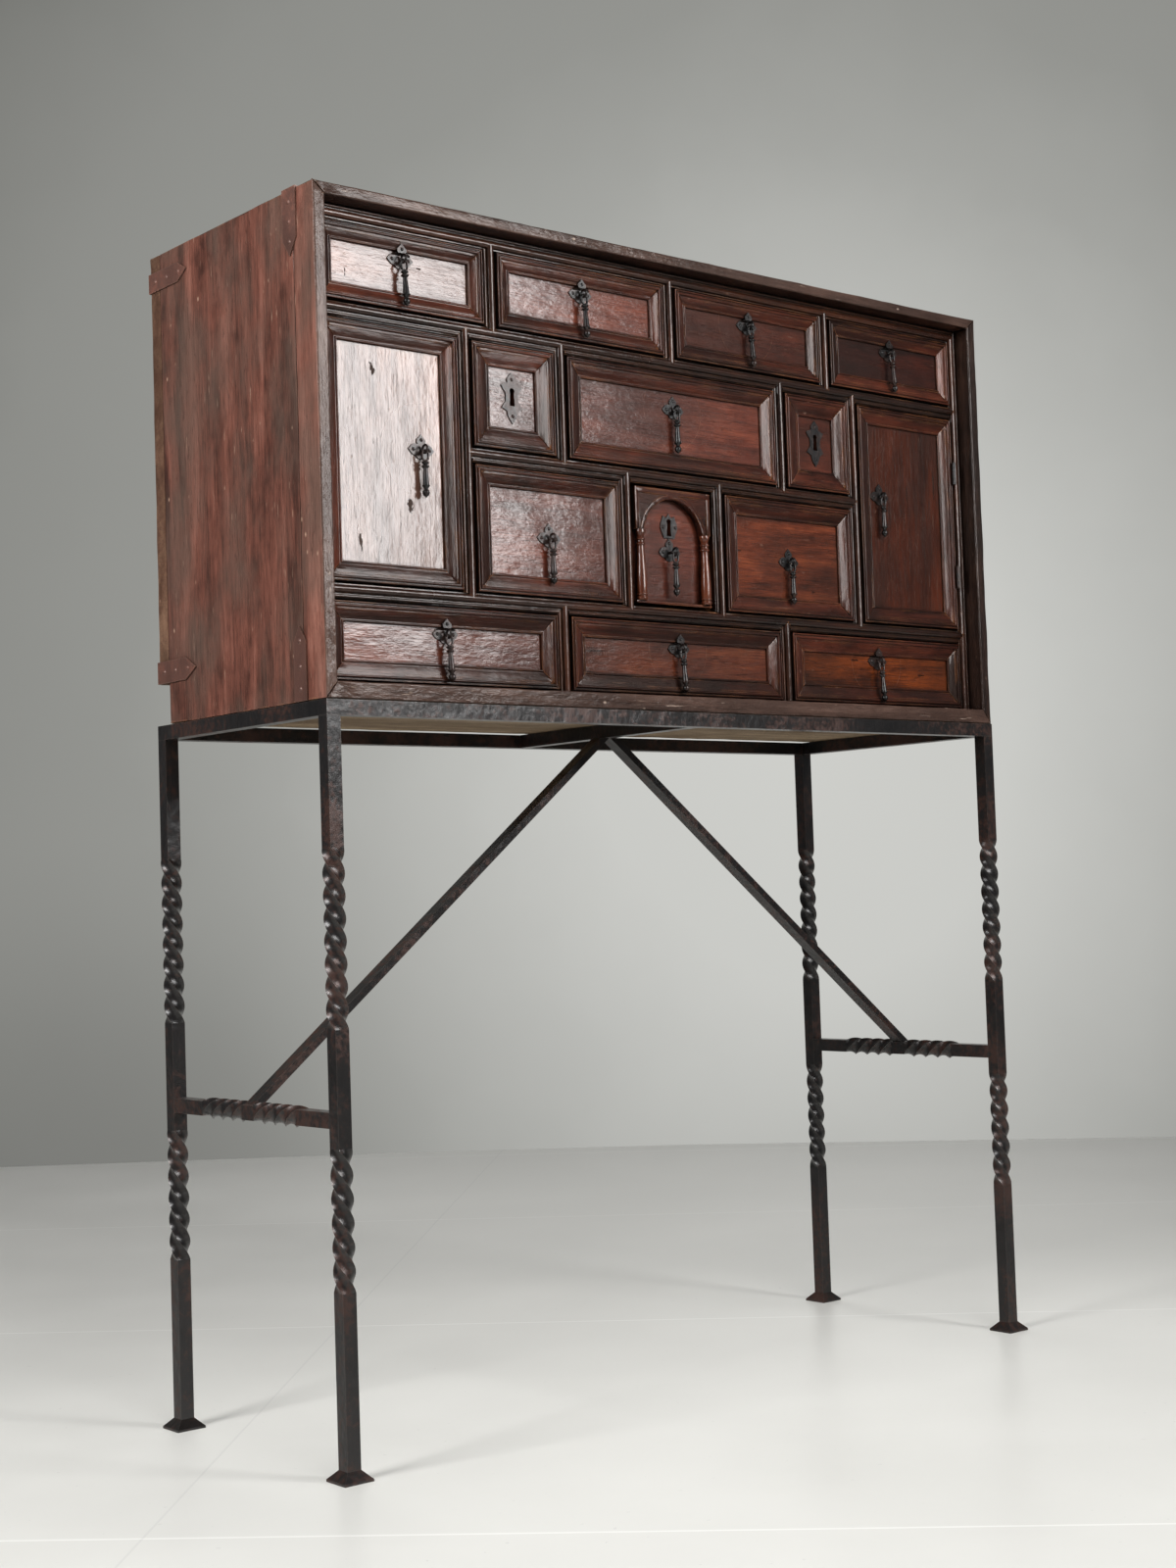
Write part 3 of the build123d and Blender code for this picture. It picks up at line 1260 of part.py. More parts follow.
def write_stand():
    node("stand_frame", stand_frame())
    node("stand_legs", stand_legs())
    node("stand_stretchers", [side_stretcher(-1), side_stretcher(1)])
    node("stand_braces", [diagonal_brace(-1), diagonal_brace(1)])


write_case()
write_drawers()
write_doors()
write_stand()
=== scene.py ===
"""The looks of the vargueno: old waxed walnut, forged iron and a plain studio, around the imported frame."""

import json
import math
import random

import bmesh
import bpy
from mathutils import Matrix, Vector, noise

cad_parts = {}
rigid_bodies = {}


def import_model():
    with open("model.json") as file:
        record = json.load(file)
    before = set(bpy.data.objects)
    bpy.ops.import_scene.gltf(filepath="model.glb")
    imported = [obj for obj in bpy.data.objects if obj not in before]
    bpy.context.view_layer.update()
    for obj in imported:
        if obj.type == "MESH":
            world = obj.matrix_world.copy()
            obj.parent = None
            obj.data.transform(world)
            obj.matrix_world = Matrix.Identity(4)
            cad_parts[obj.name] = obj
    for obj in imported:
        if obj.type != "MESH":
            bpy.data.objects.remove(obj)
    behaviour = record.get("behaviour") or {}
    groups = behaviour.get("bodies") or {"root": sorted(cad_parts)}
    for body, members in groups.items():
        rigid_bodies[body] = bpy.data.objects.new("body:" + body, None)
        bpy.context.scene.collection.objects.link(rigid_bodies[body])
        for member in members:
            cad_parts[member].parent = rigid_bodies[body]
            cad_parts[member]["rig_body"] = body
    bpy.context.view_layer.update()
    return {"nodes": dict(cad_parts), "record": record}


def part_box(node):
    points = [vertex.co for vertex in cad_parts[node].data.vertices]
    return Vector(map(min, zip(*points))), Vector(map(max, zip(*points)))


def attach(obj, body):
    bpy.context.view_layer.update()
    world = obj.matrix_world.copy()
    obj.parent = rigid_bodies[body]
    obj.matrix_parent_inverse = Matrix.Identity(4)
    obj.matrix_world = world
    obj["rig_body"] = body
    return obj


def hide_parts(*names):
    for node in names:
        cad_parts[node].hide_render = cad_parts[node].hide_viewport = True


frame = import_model()
NODES = frame["nodes"]
SLOTS = {part["node"]: part["material_slot"] for part in frame["record"]["subparts"]}
BODY_OF = {name: node["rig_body"] for name, node in NODES.items()}

# ---------------------------------------------------------------- sizes and places, in metres
CAMERA_PLACE = (-1.8238, -2.1569, 0.5963)
CAMERA_YAW = math.radians(39.7318)       # to the right of straight on
CAMERA_PITCH = math.radians(3.0249)
CAMERA_ROLL = math.radians(-1.9205)
CAMERA_LENS = 50.95                      # millimetres, with 36 mm along the picture's long side

MICRON = 1e-6
WELD = 4                                 # microns; corners that round to the same step are one
LEVEL = math.radians(0.3)                # faces this close to level with each other are joined
SHARP = math.radians(28)                 # edges sharper than this are rounded
SHORTEST = 4                             # roundings; a shorter edge stays sharp
SMOOTH = math.radians(40)                # edges blunter than this are shaded round
SLICE_NEAR = 1e-7                        # a corner this close to a cut lies on it
WAVES = 23                               # a metre, of the unevenness
RIPPLES = 90                             # a metre, of its finer part
GRAIN_ROOM = 0.06                        # metres; a board shorter than this along the wanted grain ignores it
SHIFT = 9                                # how far a board's grain is moved at most
FACING = 0.6                             # a face whose normal points this much one way faces that way
INWARD = -0.3                            # the normal's x times the board's; a face below it looks inward
MOULDED = -0.158                         # a front's mouldings reach further forward than this
FRONTED = -0.150                         # and its board further than this; the box lies behind

SPRINGING = 1.042                        # underside of the arched front's spandrels
BAND_WIDTH = 0.0055
BAND_HEIGHT = 0.0012
BAND_SUNK = 0.002                        # into the spandrel behind
BAND_BELOW_TOP = 0.0005

WALL_LINE = ((-2.6, 5.92), (0.523, 2.947), (1.303, 2.324), (1.798, 1.875), (2.557, 1.008), (4.2, -0.87))
WALL_HEIGHT = 5.0
WALL_ALONG = (0.725, -0.688, 0)
WALL_PAINTED_LIGHT = (0.3, 1.0)                  # middle of the pool of light painted on the wall, along it and up
WALL_PAINTED_LIGHT_REACH = (1.0, 1.15)           # how far it spreads, along the wall and up
WALL_PAINTED_SHADOW = (-1.4, -0.1)                # middle of the shadow painted on the wall, low on the left
FLOOR_HALF = 14.0                        # half the floor's length and width
SEAM_NORMAL = (0.688, 0.725)             # across the seams of the floor
SEAM_FIRST = -0.690
SEAM_SPACING = 1.055
CROSS_SEAM = -0.431                      # the seam that runs across the others

# ---------------------------------------------------------------- colours, 0 to 255, and light
RAW_WOOD = ((84, 58, 38), (120, 86, 58), (146, 110, 78))
PORE_COLOUR = (24, 13, 9)
RING_COLOUR = (20, 11, 8)
# colour of the soiling and of the painted shade in grooves, corners and gaps
SHADE_AND_GRIME_COLOUR = (16, 10, 7)
GOUGE_COLOUR = (26, 16, 12)
SCRIBED_COLOUR = (160, 110, 84)
WOOD_TINT = (255, 232, 218)              # of the wood's own reflections, below the wax
WOOD_SPECULAR = 0.12
WAX_ROUGHNESS = 0.16
WOOD_EDGE = 0.0022                       # metres from an edge that the worn, lighter colour and its painted highlight reach
IRON_EDGE = 0.0016
SHADE_AND_GRIME_REACH = 0.011                      # metres; grooves narrower than this are darkened, as real soiling and as painted shade
IRON_METALLIC = 0.25
FLOOR_COLOURS = ((213, 212, 207), (220, 219, 214))
FLOOR_SPECKS = (160, 160, 160)
SEAM_COLOUR = (244, 243, 240)
CROSS_SEAM_COLOUR = (165, 165, 165)
WALL_COLOURS = ((178, 178, 178), (186, 186, 186))
WORLD_COLOUR = (225, 228, 232)
WORLD_LIGHT = 0.11                       # strength that lights the object
WORLD_SEEN = 0.22                        # strength that the camera and reflections see
LAMPS = (
    # name, place, target, size, watts, whether reflections show it, whether it lights the object
    ("mirrored", (0.78, -2.25, 1.72), (0, 0, 1.05), (1.0, 1.05), 57, True, False),
    ("key", (0.8, -2.3, 1.8), (0, 0, 0.9), (0.55, 0.55), 33, False, True),
    ("front", (-1.1, -2.5, 2.1), (-0.1, 0, 1.0), (1.2, 1.2), 20, False, True),
    ("back", (0.5, 1.8, 2.3), (0, 0.3, 0.3), (1.0, 1.0), 14, False, True),
    ("side", (-2.7, -0.3, 1.9), (-0.3, 0, 0.9), (0.8, 0.8), 66, True, True),
    ("overhead", (-0.6, -1.9, 2.7), (-0.5, -1.1, 0), (1.8, 1.8), 44, False, True),
)


# ---------------------------------------------------------------- materials
def srgb(red, green, blue):
    """A colour as it is seen on a screen, 0 to 255, as linear light."""
    def linear(value):
        value /= 255
        return value / 12.92 if value <= 0.04045 else ((value + 0.055) / 1.055) ** 2.4
    return (linear(red), linear(green), linear(blue), 1)


class Look:
    """A node material in the making."""

    def __init__(self, name):
        self.material = bpy.data.materials.new(name)
        self.material.use_nodes = True
        self.tree = self.material.node_tree
        self.shader = self.tree.nodes["Principled BSDF"]

    def node(self, kind, inputs=(), **settings):
        """Adds a node, and gives its inputs values or links them."""
        made = self.tree.nodes.new("ShaderNode" + kind)
        for name, value in settings.items():
            setattr(made, name, value)
        for socket, value in dict(inputs).items():
            self.put(made.inputs[socket], value)
        return made

    def put(self, socket, value):
        if isinstance(value, bpy.types.NodeSocket):
            self.tree.links.new(value, socket)
        else:
            socket.default_value = value

    def maths(self, operation, first, second=0.0, clamp=False):
        return self.node("Math", {0: first, 1: second}, operation=operation, use_clamp=clamp).outputs[0]

    def add(self, first, second):
        return self.maths("ADD", first, second)

    def times(self, first, second):
        return self.maths("MULTIPLY", first, second)

    def inverse(self, value):
        return self.maths("SUBTRACT", 1.0, value, clamp=True)

    def smooth(self, value, start, end, low=0.0, high=1.0):
        """Runs from low to high as the value goes from start to end."""
        inputs = {"Value": value, "From Min": start, "From Max": end, "To Min": low, "To Max": high}
        return self.node("MapRange", inputs, interpolation_type="SMOOTHSTEP").outputs[0]

    def mix(self, share, first, second):
        return self.node("Mix", {0: share, 6: first, 7: second}, data_type="RGBA").outputs[2]

    def noise(self, place, stretch, detail=3.0, rough=0.55, distortion=0.0):
        """Noise with this many waves a metre along each axis."""
        spot = self.node("Mapping", {"Vector": place, "Scale": stretch}).outputs[0]
        inputs = {
            "Vector": spot, "Scale": 1.0, "Detail": detail, "Roughness": rough, "Distortion": distortion
        }
        return self.node("TexNoise", inputs).outputs[0]

    def spots(self, place, stretch):
        """Distance from the nearest of scattered points, in cells this many to the metre."""
        spot = self.node("Mapping", {"Vector": place, "Scale": stretch}).outputs[0]
        return self.node("TexVoronoi", {"Vector": spot, "Scale": 1.0}).outputs["Distance"]

    def ramp(self, value, stops):
        made = self.node("ValToRGB", {0: value})
        elements = made.color_ramp.elements
        for (place, _), element in zip(stops, elements):
            element.position = place
        for place, _ in stops[len(elements):]:
            elements.new(place)
        for (place, colour), element in zip(stops, elements):
            element.color = colour
        return made.outputs[0]

    def bump(self, height, depth, normal=None):
        inputs = {"Height": height, "Distance": depth}
        if normal:
            inputs["Normal"] = normal
        return self.node("Bump", inputs).outputs[0]

    def edges(self, radius):
        """Runs up to 1 at edges and corners, both outer and inner ones."""
        rounded = self.node("Bevel", {"Radius": radius}, samples=4).outputs[0]
        flat = self.node("NewGeometry").outputs["True Normal"]
        same = self.node("VectorMath", {0: rounded, 1: flat}, operation="DOT_PRODUCT").outputs["Value"]
        return self.maths("SUBTRACT", 1.0, same, clamp=True)

    def open_share(self, reach):
        """1 where the surface lies open, less in grooves and corners."""
        return self.node("AmbientOcclusion", {"Distance": reach}, samples=6).outputs["AO"]

    def finish(self, colour, roughness, normal, **plain):
        self.put(self.shader.inputs["Base Color"], colour)
        self.put(self.shader.inputs["Roughness"], roughness)
        self.put(self.shader.inputs["Normal"], normal)
        for name, value in plain.items():
            self.shader.inputs[name.replace("_", " ").title()].default_value = value
        return self.material


# worn is the colour of the edges: lighter from rubbing, and lighter still as a painted highlight
def wood(name, dark, middle, light, rough=0.36, coat=0.6, shade_and_grime=0.85, wear_and_highlight=0.4, worn=(134, 94, 70),
         pore=0.35, circle=None, gouges=(), lumps=0.0005, nicked=0.25, nick=(150, 118, 100), smudge=None,
         gleam=0.0):
    """Old waxed walnut: streaks and pores along the grain, grimy corners with painted shade, worn edges with
    a painted highlight.

    The grain follows the attribute "wood", whose x runs along each board; "tone" tells the
    boards apart. A circle (x, z, radius) is scribed on the front, and gouges are cut into it.
    """
    look = Look(name)
    place = look.node("Attribute", attribute_name="wood").outputs["Vector"]
    tone = look.node("Attribute", attribute_name="tone").outputs["Fac"]
    streaks = look.noise(place, (3, 30, 30), detail=6, rough=0.62, distortion=0.9)
    fibres = look.noise(place, (26, 820, 820), detail=4)
    pores = look.smooth(look.noise(place, (22, 800, 800), detail=2), 0.34, 0.44)
    patches = look.noise(place, (5, 10, 10), detail=5)
    blots = look.noise(place, (24, 40, 40), detail=6, rough=0.65)
    grain = look.add(look.times(streaks, 0.5), look.times(fibres, 0.2))
    grain = look.add(grain, look.times(blots, 0.3))
    grain = look.add(grain, look.smooth(tone, 0, 1, -0.04, 0.04))
    colour = look.ramp(grain, ((0.38, srgb(*dark)), (0.5, srgb(*middle)), (0.62, srgb(*light))))
    colour = look.mix(look.smooth(patches, 0.4, 0.62, 0, 0.65), colour, srgb(*(smudge or dark)))
    colour = look.mix(look.smooth(blots, 0.5, 0.75, 0, 0.4), colour, srgb(*dark))
    colour = look.mix(look.smooth(pores, 0, 1, pore, 0), colour, srgb(*PORE_COLOUR))
    rings = look.noise(place, (5, 60, 60), detail=4)
    rings = look.smooth(look.maths("PINGPONG", look.times(rings, 16), 1), 0.02, 0.16, 1, 0)
    rings = look.times(rings, look.smooth(blots, 0.4, 0.6, 0.25, 1))
    colour = look.mix(look.times(rings, 0.45), colour, srgb(*RING_COLOUR))
    scratches = look.smooth(look.noise(place, (26, 330, 330), detail=2), 0.7, 0.76)
    chips = look.smooth(look.spots(place, (40, 66, 66)), 0.02, 0.15, 1, 0)
    chips = look.times(chips, look.smooth(look.noise(place, (11, 17, 17), detail=3), 0.52, 0.6))
    marks = look.maths("MAXIMUM", look.times(scratches, 0.7), chips)
    colour = look.mix(look.times(marks, nicked), colour, srgb(*nick))
    # painted highlight mixed with real rubbing: edges and corners lighter in the worn colour
    edge = look.smooth(look.edges(WOOD_EDGE), 0.02, 0.3)
    rubbed_and_highlit = look.times(edge, look.smooth(look.noise(place, (24, 60, 60), detail=4), 0.42, 0.62, 0, wear_and_highlight))
    colour = look.mix(rubbed_and_highlit, colour, srgb(*worn))
    # painted shade mixed with soiling: darker in grooves, corners and gaps between parts, found by ambient
    # occlusion
    shut = look.inverse(look.smooth(look.open_share(SHADE_AND_GRIME_REACH), 0.3, 0.85))
    dirt_and_shade = look.times(shut, shade_and_grime)
    colour = look.mix(dirt_and_shade, colour, srgb(*SHADE_AND_GRIME_COLOUR))
    height = look.add(look.add(look.times(fibres, 0.7), look.times(pores, 0.3)), look.times(marks, -1.5))
    height = look.add(height, look.times(rings, -0.6))
    if circle:
        colour, height = scribed(look, colour, height, blots, *circle)
    pits = gouged(look, gouges)
    colour = look.mix(look.times(pits, 0.85), colour, srgb(*GOUGE_COLOUR))
    height = look.add(height, look.times(pits, -4))
    waves = look.bump(look.noise(place, (4, 9, 9), detail=2), 0.0014)
    dents = look.bump(look.noise(place, (38, 75, 75), detail=3), lumps, waves)
    crackle = look.bump(look.noise(place, (110, 260, 260), detail=4), 0.4 * lumps, dents)
    look.put(look.shader.inputs["Coat Normal"], look.bump(fibres, 0.00008, crackle))
    normal = look.bump(height, 0.00025, crackle)
    gloss = look.add(look.smooth(patches, 0.3, 0.7, rough - 0.05, rough + 0.08), look.times(dirt_and_shade, 0.25))
    if coat:
        polish = look.times(look.smooth(fibres, 0.34, 0.5, 0.65, 1), look.smooth(blots, 0.36, 0.56, 0.85, 1))
        polish = look.times(polish, look.inverse(look.add(dirt_and_shade, look.times(look.add(marks, rings), 0.5))))
        polish = look.times(polish, look.inverse(pits))
        shine = look.maths("MAXIMUM", look.times(polish, coat), look.times(edge, gleam))
        look.put(look.shader.inputs["Coat Weight"], shine)
    look.shader.inputs["Specular IOR Level"].default_value = WOOD_SPECULAR
    look.shader.inputs["Specular Tint"].default_value = srgb(*WOOD_TINT)
    return look.finish(colour, gloss, normal, coat_roughness=WAX_ROUGHNESS)


def scribed(look, colour, height, fading, middle_x, middle_z, radius):
    """A circle that dividers scratched round a pull, worn away in places."""
    place = look.node("TexCoord").outputs["Object"]
    parts = look.node("SeparateXYZ", {0: place})
    across = look.maths("POWER", look.maths("SUBTRACT", parts.outputs[0], middle_x), 2)
    upright = look.maths("POWER", look.maths("SUBTRACT", parts.outputs[2], middle_z), 2)
    away = look.maths("SQRT", look.add(across, upright))
    off = look.maths("ABSOLUTE", look.maths("SUBTRACT", away, radius))
    line = look.times(look.smooth(off, 0.0002, 0.0005, 1, 0), look.smooth(fading, 0.4, 0.6, 0.05, 0.8))
    colour = look.mix(look.times(line, 0.3), colour, srgb(*SCRIBED_COLOUR))
    return colour, look.add(height, look.times(line, -2))


def distance(look, first, second, middle, reach):
    """How far a point is from the middle, in reaches along each of its two coordinates."""
    across = look.maths("DIVIDE", look.maths("SUBTRACT", first, middle[0]), reach[0])
    upright = look.maths("DIVIDE", look.maths("SUBTRACT", second, middle[1]), reach[1])
    return look.maths("SQRT", look.add(look.times(across, across), look.times(upright, upright)))


def gouged(look, gouges):
    """1 inside the gouges, ragged ovals given by their middle, half width and half height."""
    place = look.node("TexCoord").outputs["Object"]
    parts = look.node("SeparateXYZ", {0: place})
    ragged = look.smooth(look.noise(place, (190, 190, 110), detail=3), 0.3, 0.7, -0.6, 0.6)
    pits = 0.0
    for x, z, wide, tall in gouges:
        away = distance(look, parts.outputs[0], parts.outputs[2], (x, z), (wide, tall))
        pits = look.maths("MAXIMUM", pits, look.smooth(look.add(away, ragged), 0.7, 1.0, 1, 0))
    return pits


def iron(name, rust, dark=(17, 15, 15), light=(34, 30, 29), rusted=(74, 42, 30), rubbed_and_highlit=(96, 86, 80),
         rough=0.3, hammer=0.0012):
    """Forged iron with a black-brown skin, rusted in patches, worn by rubbing along its edges and lighter
    there as a painted highlight.
    """
    look = Look(name)
    place = look.node("TexCoord").outputs["Object"]
    broad = look.noise(place, (14, 14, 9), detail=4)
    specks = look.noise(place, (160, 160, 160), detail=4)
    fine = look.noise(place, (700, 700, 700), detail=2)
    colour = look.ramp(broad, ((0.3, srgb(*dark)), (0.7, srgb(*light))))
    rusty = look.smooth(look.add(look.times(broad, 0.55), look.times(specks, 0.45)), 0.47, 0.6, 0, rust)
    colour = look.mix(rusty, colour, srgb(*rusted))
    # lighter edges: iron worn by rubbing, and a painted highlight
    edge = look.smooth(look.edges(IRON_EDGE), 0.03, 0.3, 0, 0.4)
    colour = look.mix(edge, colour, srgb(*rubbed_and_highlit))
    blows = look.noise(place, (55, 55, 40), detail=2)
    normal = look.bump(blows, hammer)
    normal = look.bump(look.add(specks, look.times(fine, 0.4)), 0.0002, normal)
    gloss = look.smooth(rusty, 0, 1, rough, rough + 0.3)
    return look.finish(colour, gloss, normal, metallic=IRON_METALLIC)


def grey(value):
    return srgb(value, value + 0.5, value - 3.5)


# painted light on the wall, from the middle of its pool outwards, in reaches
WALL_PAINTED_LIGHT_STOPS = (
    (0.0, grey(206)), (0.2, grey(202)), (0.32, grey(188)), (0.4, grey(178)), (0.5, grey(163)),
    (0.64, grey(148)), (0.8, grey(141)), (1.0, grey(122)),
)
WALL_PAINTED_LIGHT_END = 2.5


# ---------------------------------------------------------------- boards cut from the frame's solids
def solids(mesh):
    """The corners and faces of each closed solid of a mesh, whose faces follow each other."""
    found = []
    spots, corners, faces, open_edges = {}, [], [], set()
    for polygon in mesh.polygons:
        face = []
        for index in polygon.vertices:
            place = mesh.vertices[index].co
            key = tuple(round(value / MICRON / WELD) for value in place)
            if key not in spots:
                spots[key] = len(corners)
                corners.append(place.copy())
            face.append(spots[key])
        faces.append(face)
        for first, second in zip(face, face[1:] + face[:1]):
            open_edges ^= {(min(first, second), max(first, second))}
        if not open_edges:
            found.append((corners, faces))
            spots, corners, faces = {}, [], []
    return found


def board_mesh(corners, faces, rounding, step, worn):
    """One board: coplanar faces joined, edges rounded, cut into a grid and a little uneven."""
    board = bmesh.new()
    vertices = [board.verts.new(corner) for corner in corners]
    for face in faces:
        if len(set(face)) == len(face):
            try:
                board.faces.new([vertices[index] for index in face])
            except ValueError:
                continue
    bmesh.ops.dissolve_limit(board, angle_limit=LEVEL, verts=board.verts, edges=board.edges)
    sharp = [
        edge for edge in board.edges
        if edge.is_manifold and edge.calc_face_angle_signed(0) > SHARP
        and edge.calc_length() > SHORTEST * rounding
    ]
    bmesh.ops.bevel(
        board, geom=sharp, offset=rounding, segments=2, profile=0.5, affect="EDGES", clamp_overlap=True
    )
    low = Vector([min(corner[axis] for corner in corners) for axis in range(3)])
    high = Vector([max(corner[axis] for corner in corners) for axis in range(3)])
    for axis in range(3):
        size = high[axis] - low[axis]
        cuts = int(size / step)
        for cut in range(1, cuts):
            place = low.copy()
            place[axis] += size * cut / cuts
            normal = Vector([float(axis == other) for other in range(3)])
            geometry = board.verts[:] + board.edges[:] + board.faces[:]
            bmesh.ops.bisect_plane(board, geom=geometry, dist=SLICE_NEAR, plane_co=place, plane_no=normal)
    board.normal_update()
    moves = []
    for vertex in board.verts:
        uneven = 0.5 + 0.6 * noise.noise(vertex.co * WAVES) + 0.35 * noise.noise(vertex.co * RIPPLES)
        moves.append(vertex.normal * -worn * min(max(uneven, 0), 1))
    for vertex, move in zip(board.verts, moves):
        vertex.co += move
    return board, low, high


def front_kind(low, normal):
    """Which of three materials a part of a drawer or door has: board, moulding or box."""
    return 1 if low.y < MOULDED else 0 if low.y < FRONTED else 2


def edge_kind(low, normal):
    """Which material a face of the case has: the second in front, third below, fourth inside a side."""
    if normal.y < -FACING:
        return 1
    if normal.z < -FACING:
        return 2
    return 3 if normal.x * low.x < INWARD else 0


def block(low, high):
    """The corners and faces of an upright block."""
    corners = [
        Vector((x, y, z)) for x in (low[0], high[0]) for y in (low[1], high[1]) for z in (low[2], high[2])
    ]
    return corners, [(0, 1, 3, 2), (4, 6, 7, 5), (0, 4, 5, 1), (2, 3, 7, 6), (0, 2, 6, 4), (1, 5, 7, 3)]


def worked(name, rounding=0.0007, step=0.02, worn=0.0003, grain=None, kind=None, added=()):
    """A copy of a node's boards with rounded, uneven edges and their own grain."""
    source = NODES[name]
    whole = bpy.data.meshes.new(f"{name}_worked")
    joined = bmesh.new()
    grain_layer = joined.verts.layers.float_vector.new("wood")
    tone_layer = joined.verts.layers.float.new("tone")
    for corners, faces in [*solids(source.data), *added]:
        middle = sum(corners, Vector()) / len(corners)
        rng = random.Random("{}{:.2f}{:.2f}{:.2f}".format(name, *middle))
        board, low, high = board_mesh(corners, faces, rounding, step, worn)
        size = high - low
        along = max(range(3), key=lambda axis: size[axis])
        if grain is not None and size[grain] > GRAIN_ROOM:
            along = grain
        others = [axis for axis in range(3) if axis != along]
        shift = Vector([rng.uniform(-SHIFT, SHIFT) for _ in range(3)])
        tone = rng.random()
        made = {}
        for vertex in board.verts:
            copy = joined.verts.new(vertex.co)
            place = vertex.co
            copy[grain_layer] = Vector((place[along], place[others[0]], place[others[1]])) + shift
            copy[tone_layer] = tone
            made[vertex] = copy
        for face in board.faces:
            copied = joined.faces.new([made[vertex] for vertex in face.verts])
            copied.material_index = kind(low, face.normal) if kind else 0
        board.free()
    joined.to_mesh(whole)
    joined.free()
    whole.shade_smooth()
    whole.set_sharp_from_angle(angle=SMOOTH)
    piece = bpy.data.objects.new(f"{name}_worked", whole)
    bpy.context.scene.collection.objects.link(piece)
    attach(piece, BODY_OF[name])
    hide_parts(name)
    return piece


def dress(piece, *materials):
    """Gives a piece its materials, in the order of its faces' numbers."""
    if piece.data.materials:
        piece.data.materials.clear()
    for material in materials:
        piece.data.materials.append(material)


# ---------------------------------------------------------------- the object
CIRCLED = {"drawer_top_3": 0.047, "drawer_upper_2": 0.047, "drawer_lower_1": 0.047, "drawer_bottom_2": 0.047,
           "drawer_bottom_3": 0.047, "left_door": 0.053}
FIELDS = {
    "drawer_top_1": ((60, 34, 25), (104, 64, 49), (134, 88, 70)),
    "drawer_bottom_3": ((22, 8, 2), (56, 22, 6), (120, 54, 17)),
    "drawer_bottom_2": ((34, 14, 7), (78, 34, 17), (118, 60, 32)),
    "drawer_top_4": ((26, 10, 7), (50, 19, 12), (74, 32, 21)),
    "drawer_top_3": ((32, 13, 8), (68, 29, 19), (98, 47, 31)),
    "drawer_lower_3": ((38, 16, 8), (90, 40, 22), (136, 68, 38)),
    "right_door": ((28, 9, 4), (58, 22, 9), (80, 34, 17)),
    "left_door": ((66, 44, 36), (122, 88, 74), (150, 112, 96)),
}
GOUGES = {
    "left_door": (
        (-0.450, 1.190, 0.0032, 0.0075), (-0.471, 1.002, 0.0022, 0.012), (-0.403, 1.042, 0.0035, 0.0065),
    ),
    "right_door": ((0.415, 1.13, 0.0012, 0.012), (0.47, 1.15, 0.0012, 0.02)),
    "drawer_top_1": ((-0.482, 1.291, 0.001, 0.005), (-0.382, 1.312, 0.004, 0.0009)),
    "drawer_top_4": ((0.316, 1.330, 0.006, 0.001), (0.375, 1.322, 0.003, 0.001)),
    "drawer_lower_3": ((0.232, 0.985, 0.004, 0.0012), (0.1, 1.03, 0.006, 0.0009)),
    "drawer_bottom_3": ((0.30, 0.90, 0.006, 0.0015), (0.43, 0.885, 0.008, 0.0012)),
}
FIELD_COLOURS = ((46, 19, 12), (84, 37, 24), (116, 57, 38))


def staple_place(name):
    low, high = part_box("pull_" + name.removeprefix("drawer_"))
    return (low.x + high.x) / 2, high.z


def spandrel_bands():
    """Raised bands up the outer edges of the arched front, which leave its spandrels hollow."""
    low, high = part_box("drawer_lower_2")
    back = low.y + BAND_HEIGHT + BAND_SUNK
    return [
        block((low.x, low.y, SPRINGING), (low.x + BAND_WIDTH, back, high.z - BAND_BELOW_TOP)),
        block((high.x - BAND_WIDTH, low.y, SPRINGING), (high.x, back, high.z - BAND_BELOW_TOP)),
    ]


def dress_fronts():
    # the mouldings' worn colour is light and orange, as a painted highlight on their crests and beads
    moulding = wood("moulding_wood", (22, 10, 7), (54, 24, 16), (90, 43, 29), rough=0.3, coat=0.27, shade_and_grime=1.0,
                    wear_and_highlight=0.75, worn=(156, 100, 62), lumps=0.0004, gleam=0.8)
    box = wood("drawer_wood", *RAW_WOOD, rough=0.62, coat=0.0, shade_and_grime=0.6)
    for name in NODES:
        if not name.startswith("drawer_") and name not in ("left_door", "right_door"):
            continue
        grain = 2 if name.endswith("door") else 0
        added = spandrel_bands() if name == "drawer_lower_2" else ()
        piece = worked(
            name, rounding=0.0005, step=0.014, worn=0.0005, grain=grain, kind=front_kind, added=added
        )
        circle = (*staple_place(name), CIRCLED[name]) if name in CIRCLED else None
        colours = FIELDS.get(name, FIELD_COLOURS)
        wax = 0.95 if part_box(name)[0].x < 0 else 0.45
        gouges = GOUGES.get(name, ())
        board = wood(f"front_wood_{name}", *colours, rough=0.34, coat=wax, circle=circle, gouges=gouges)
        dress(piece, board, moulding, box)


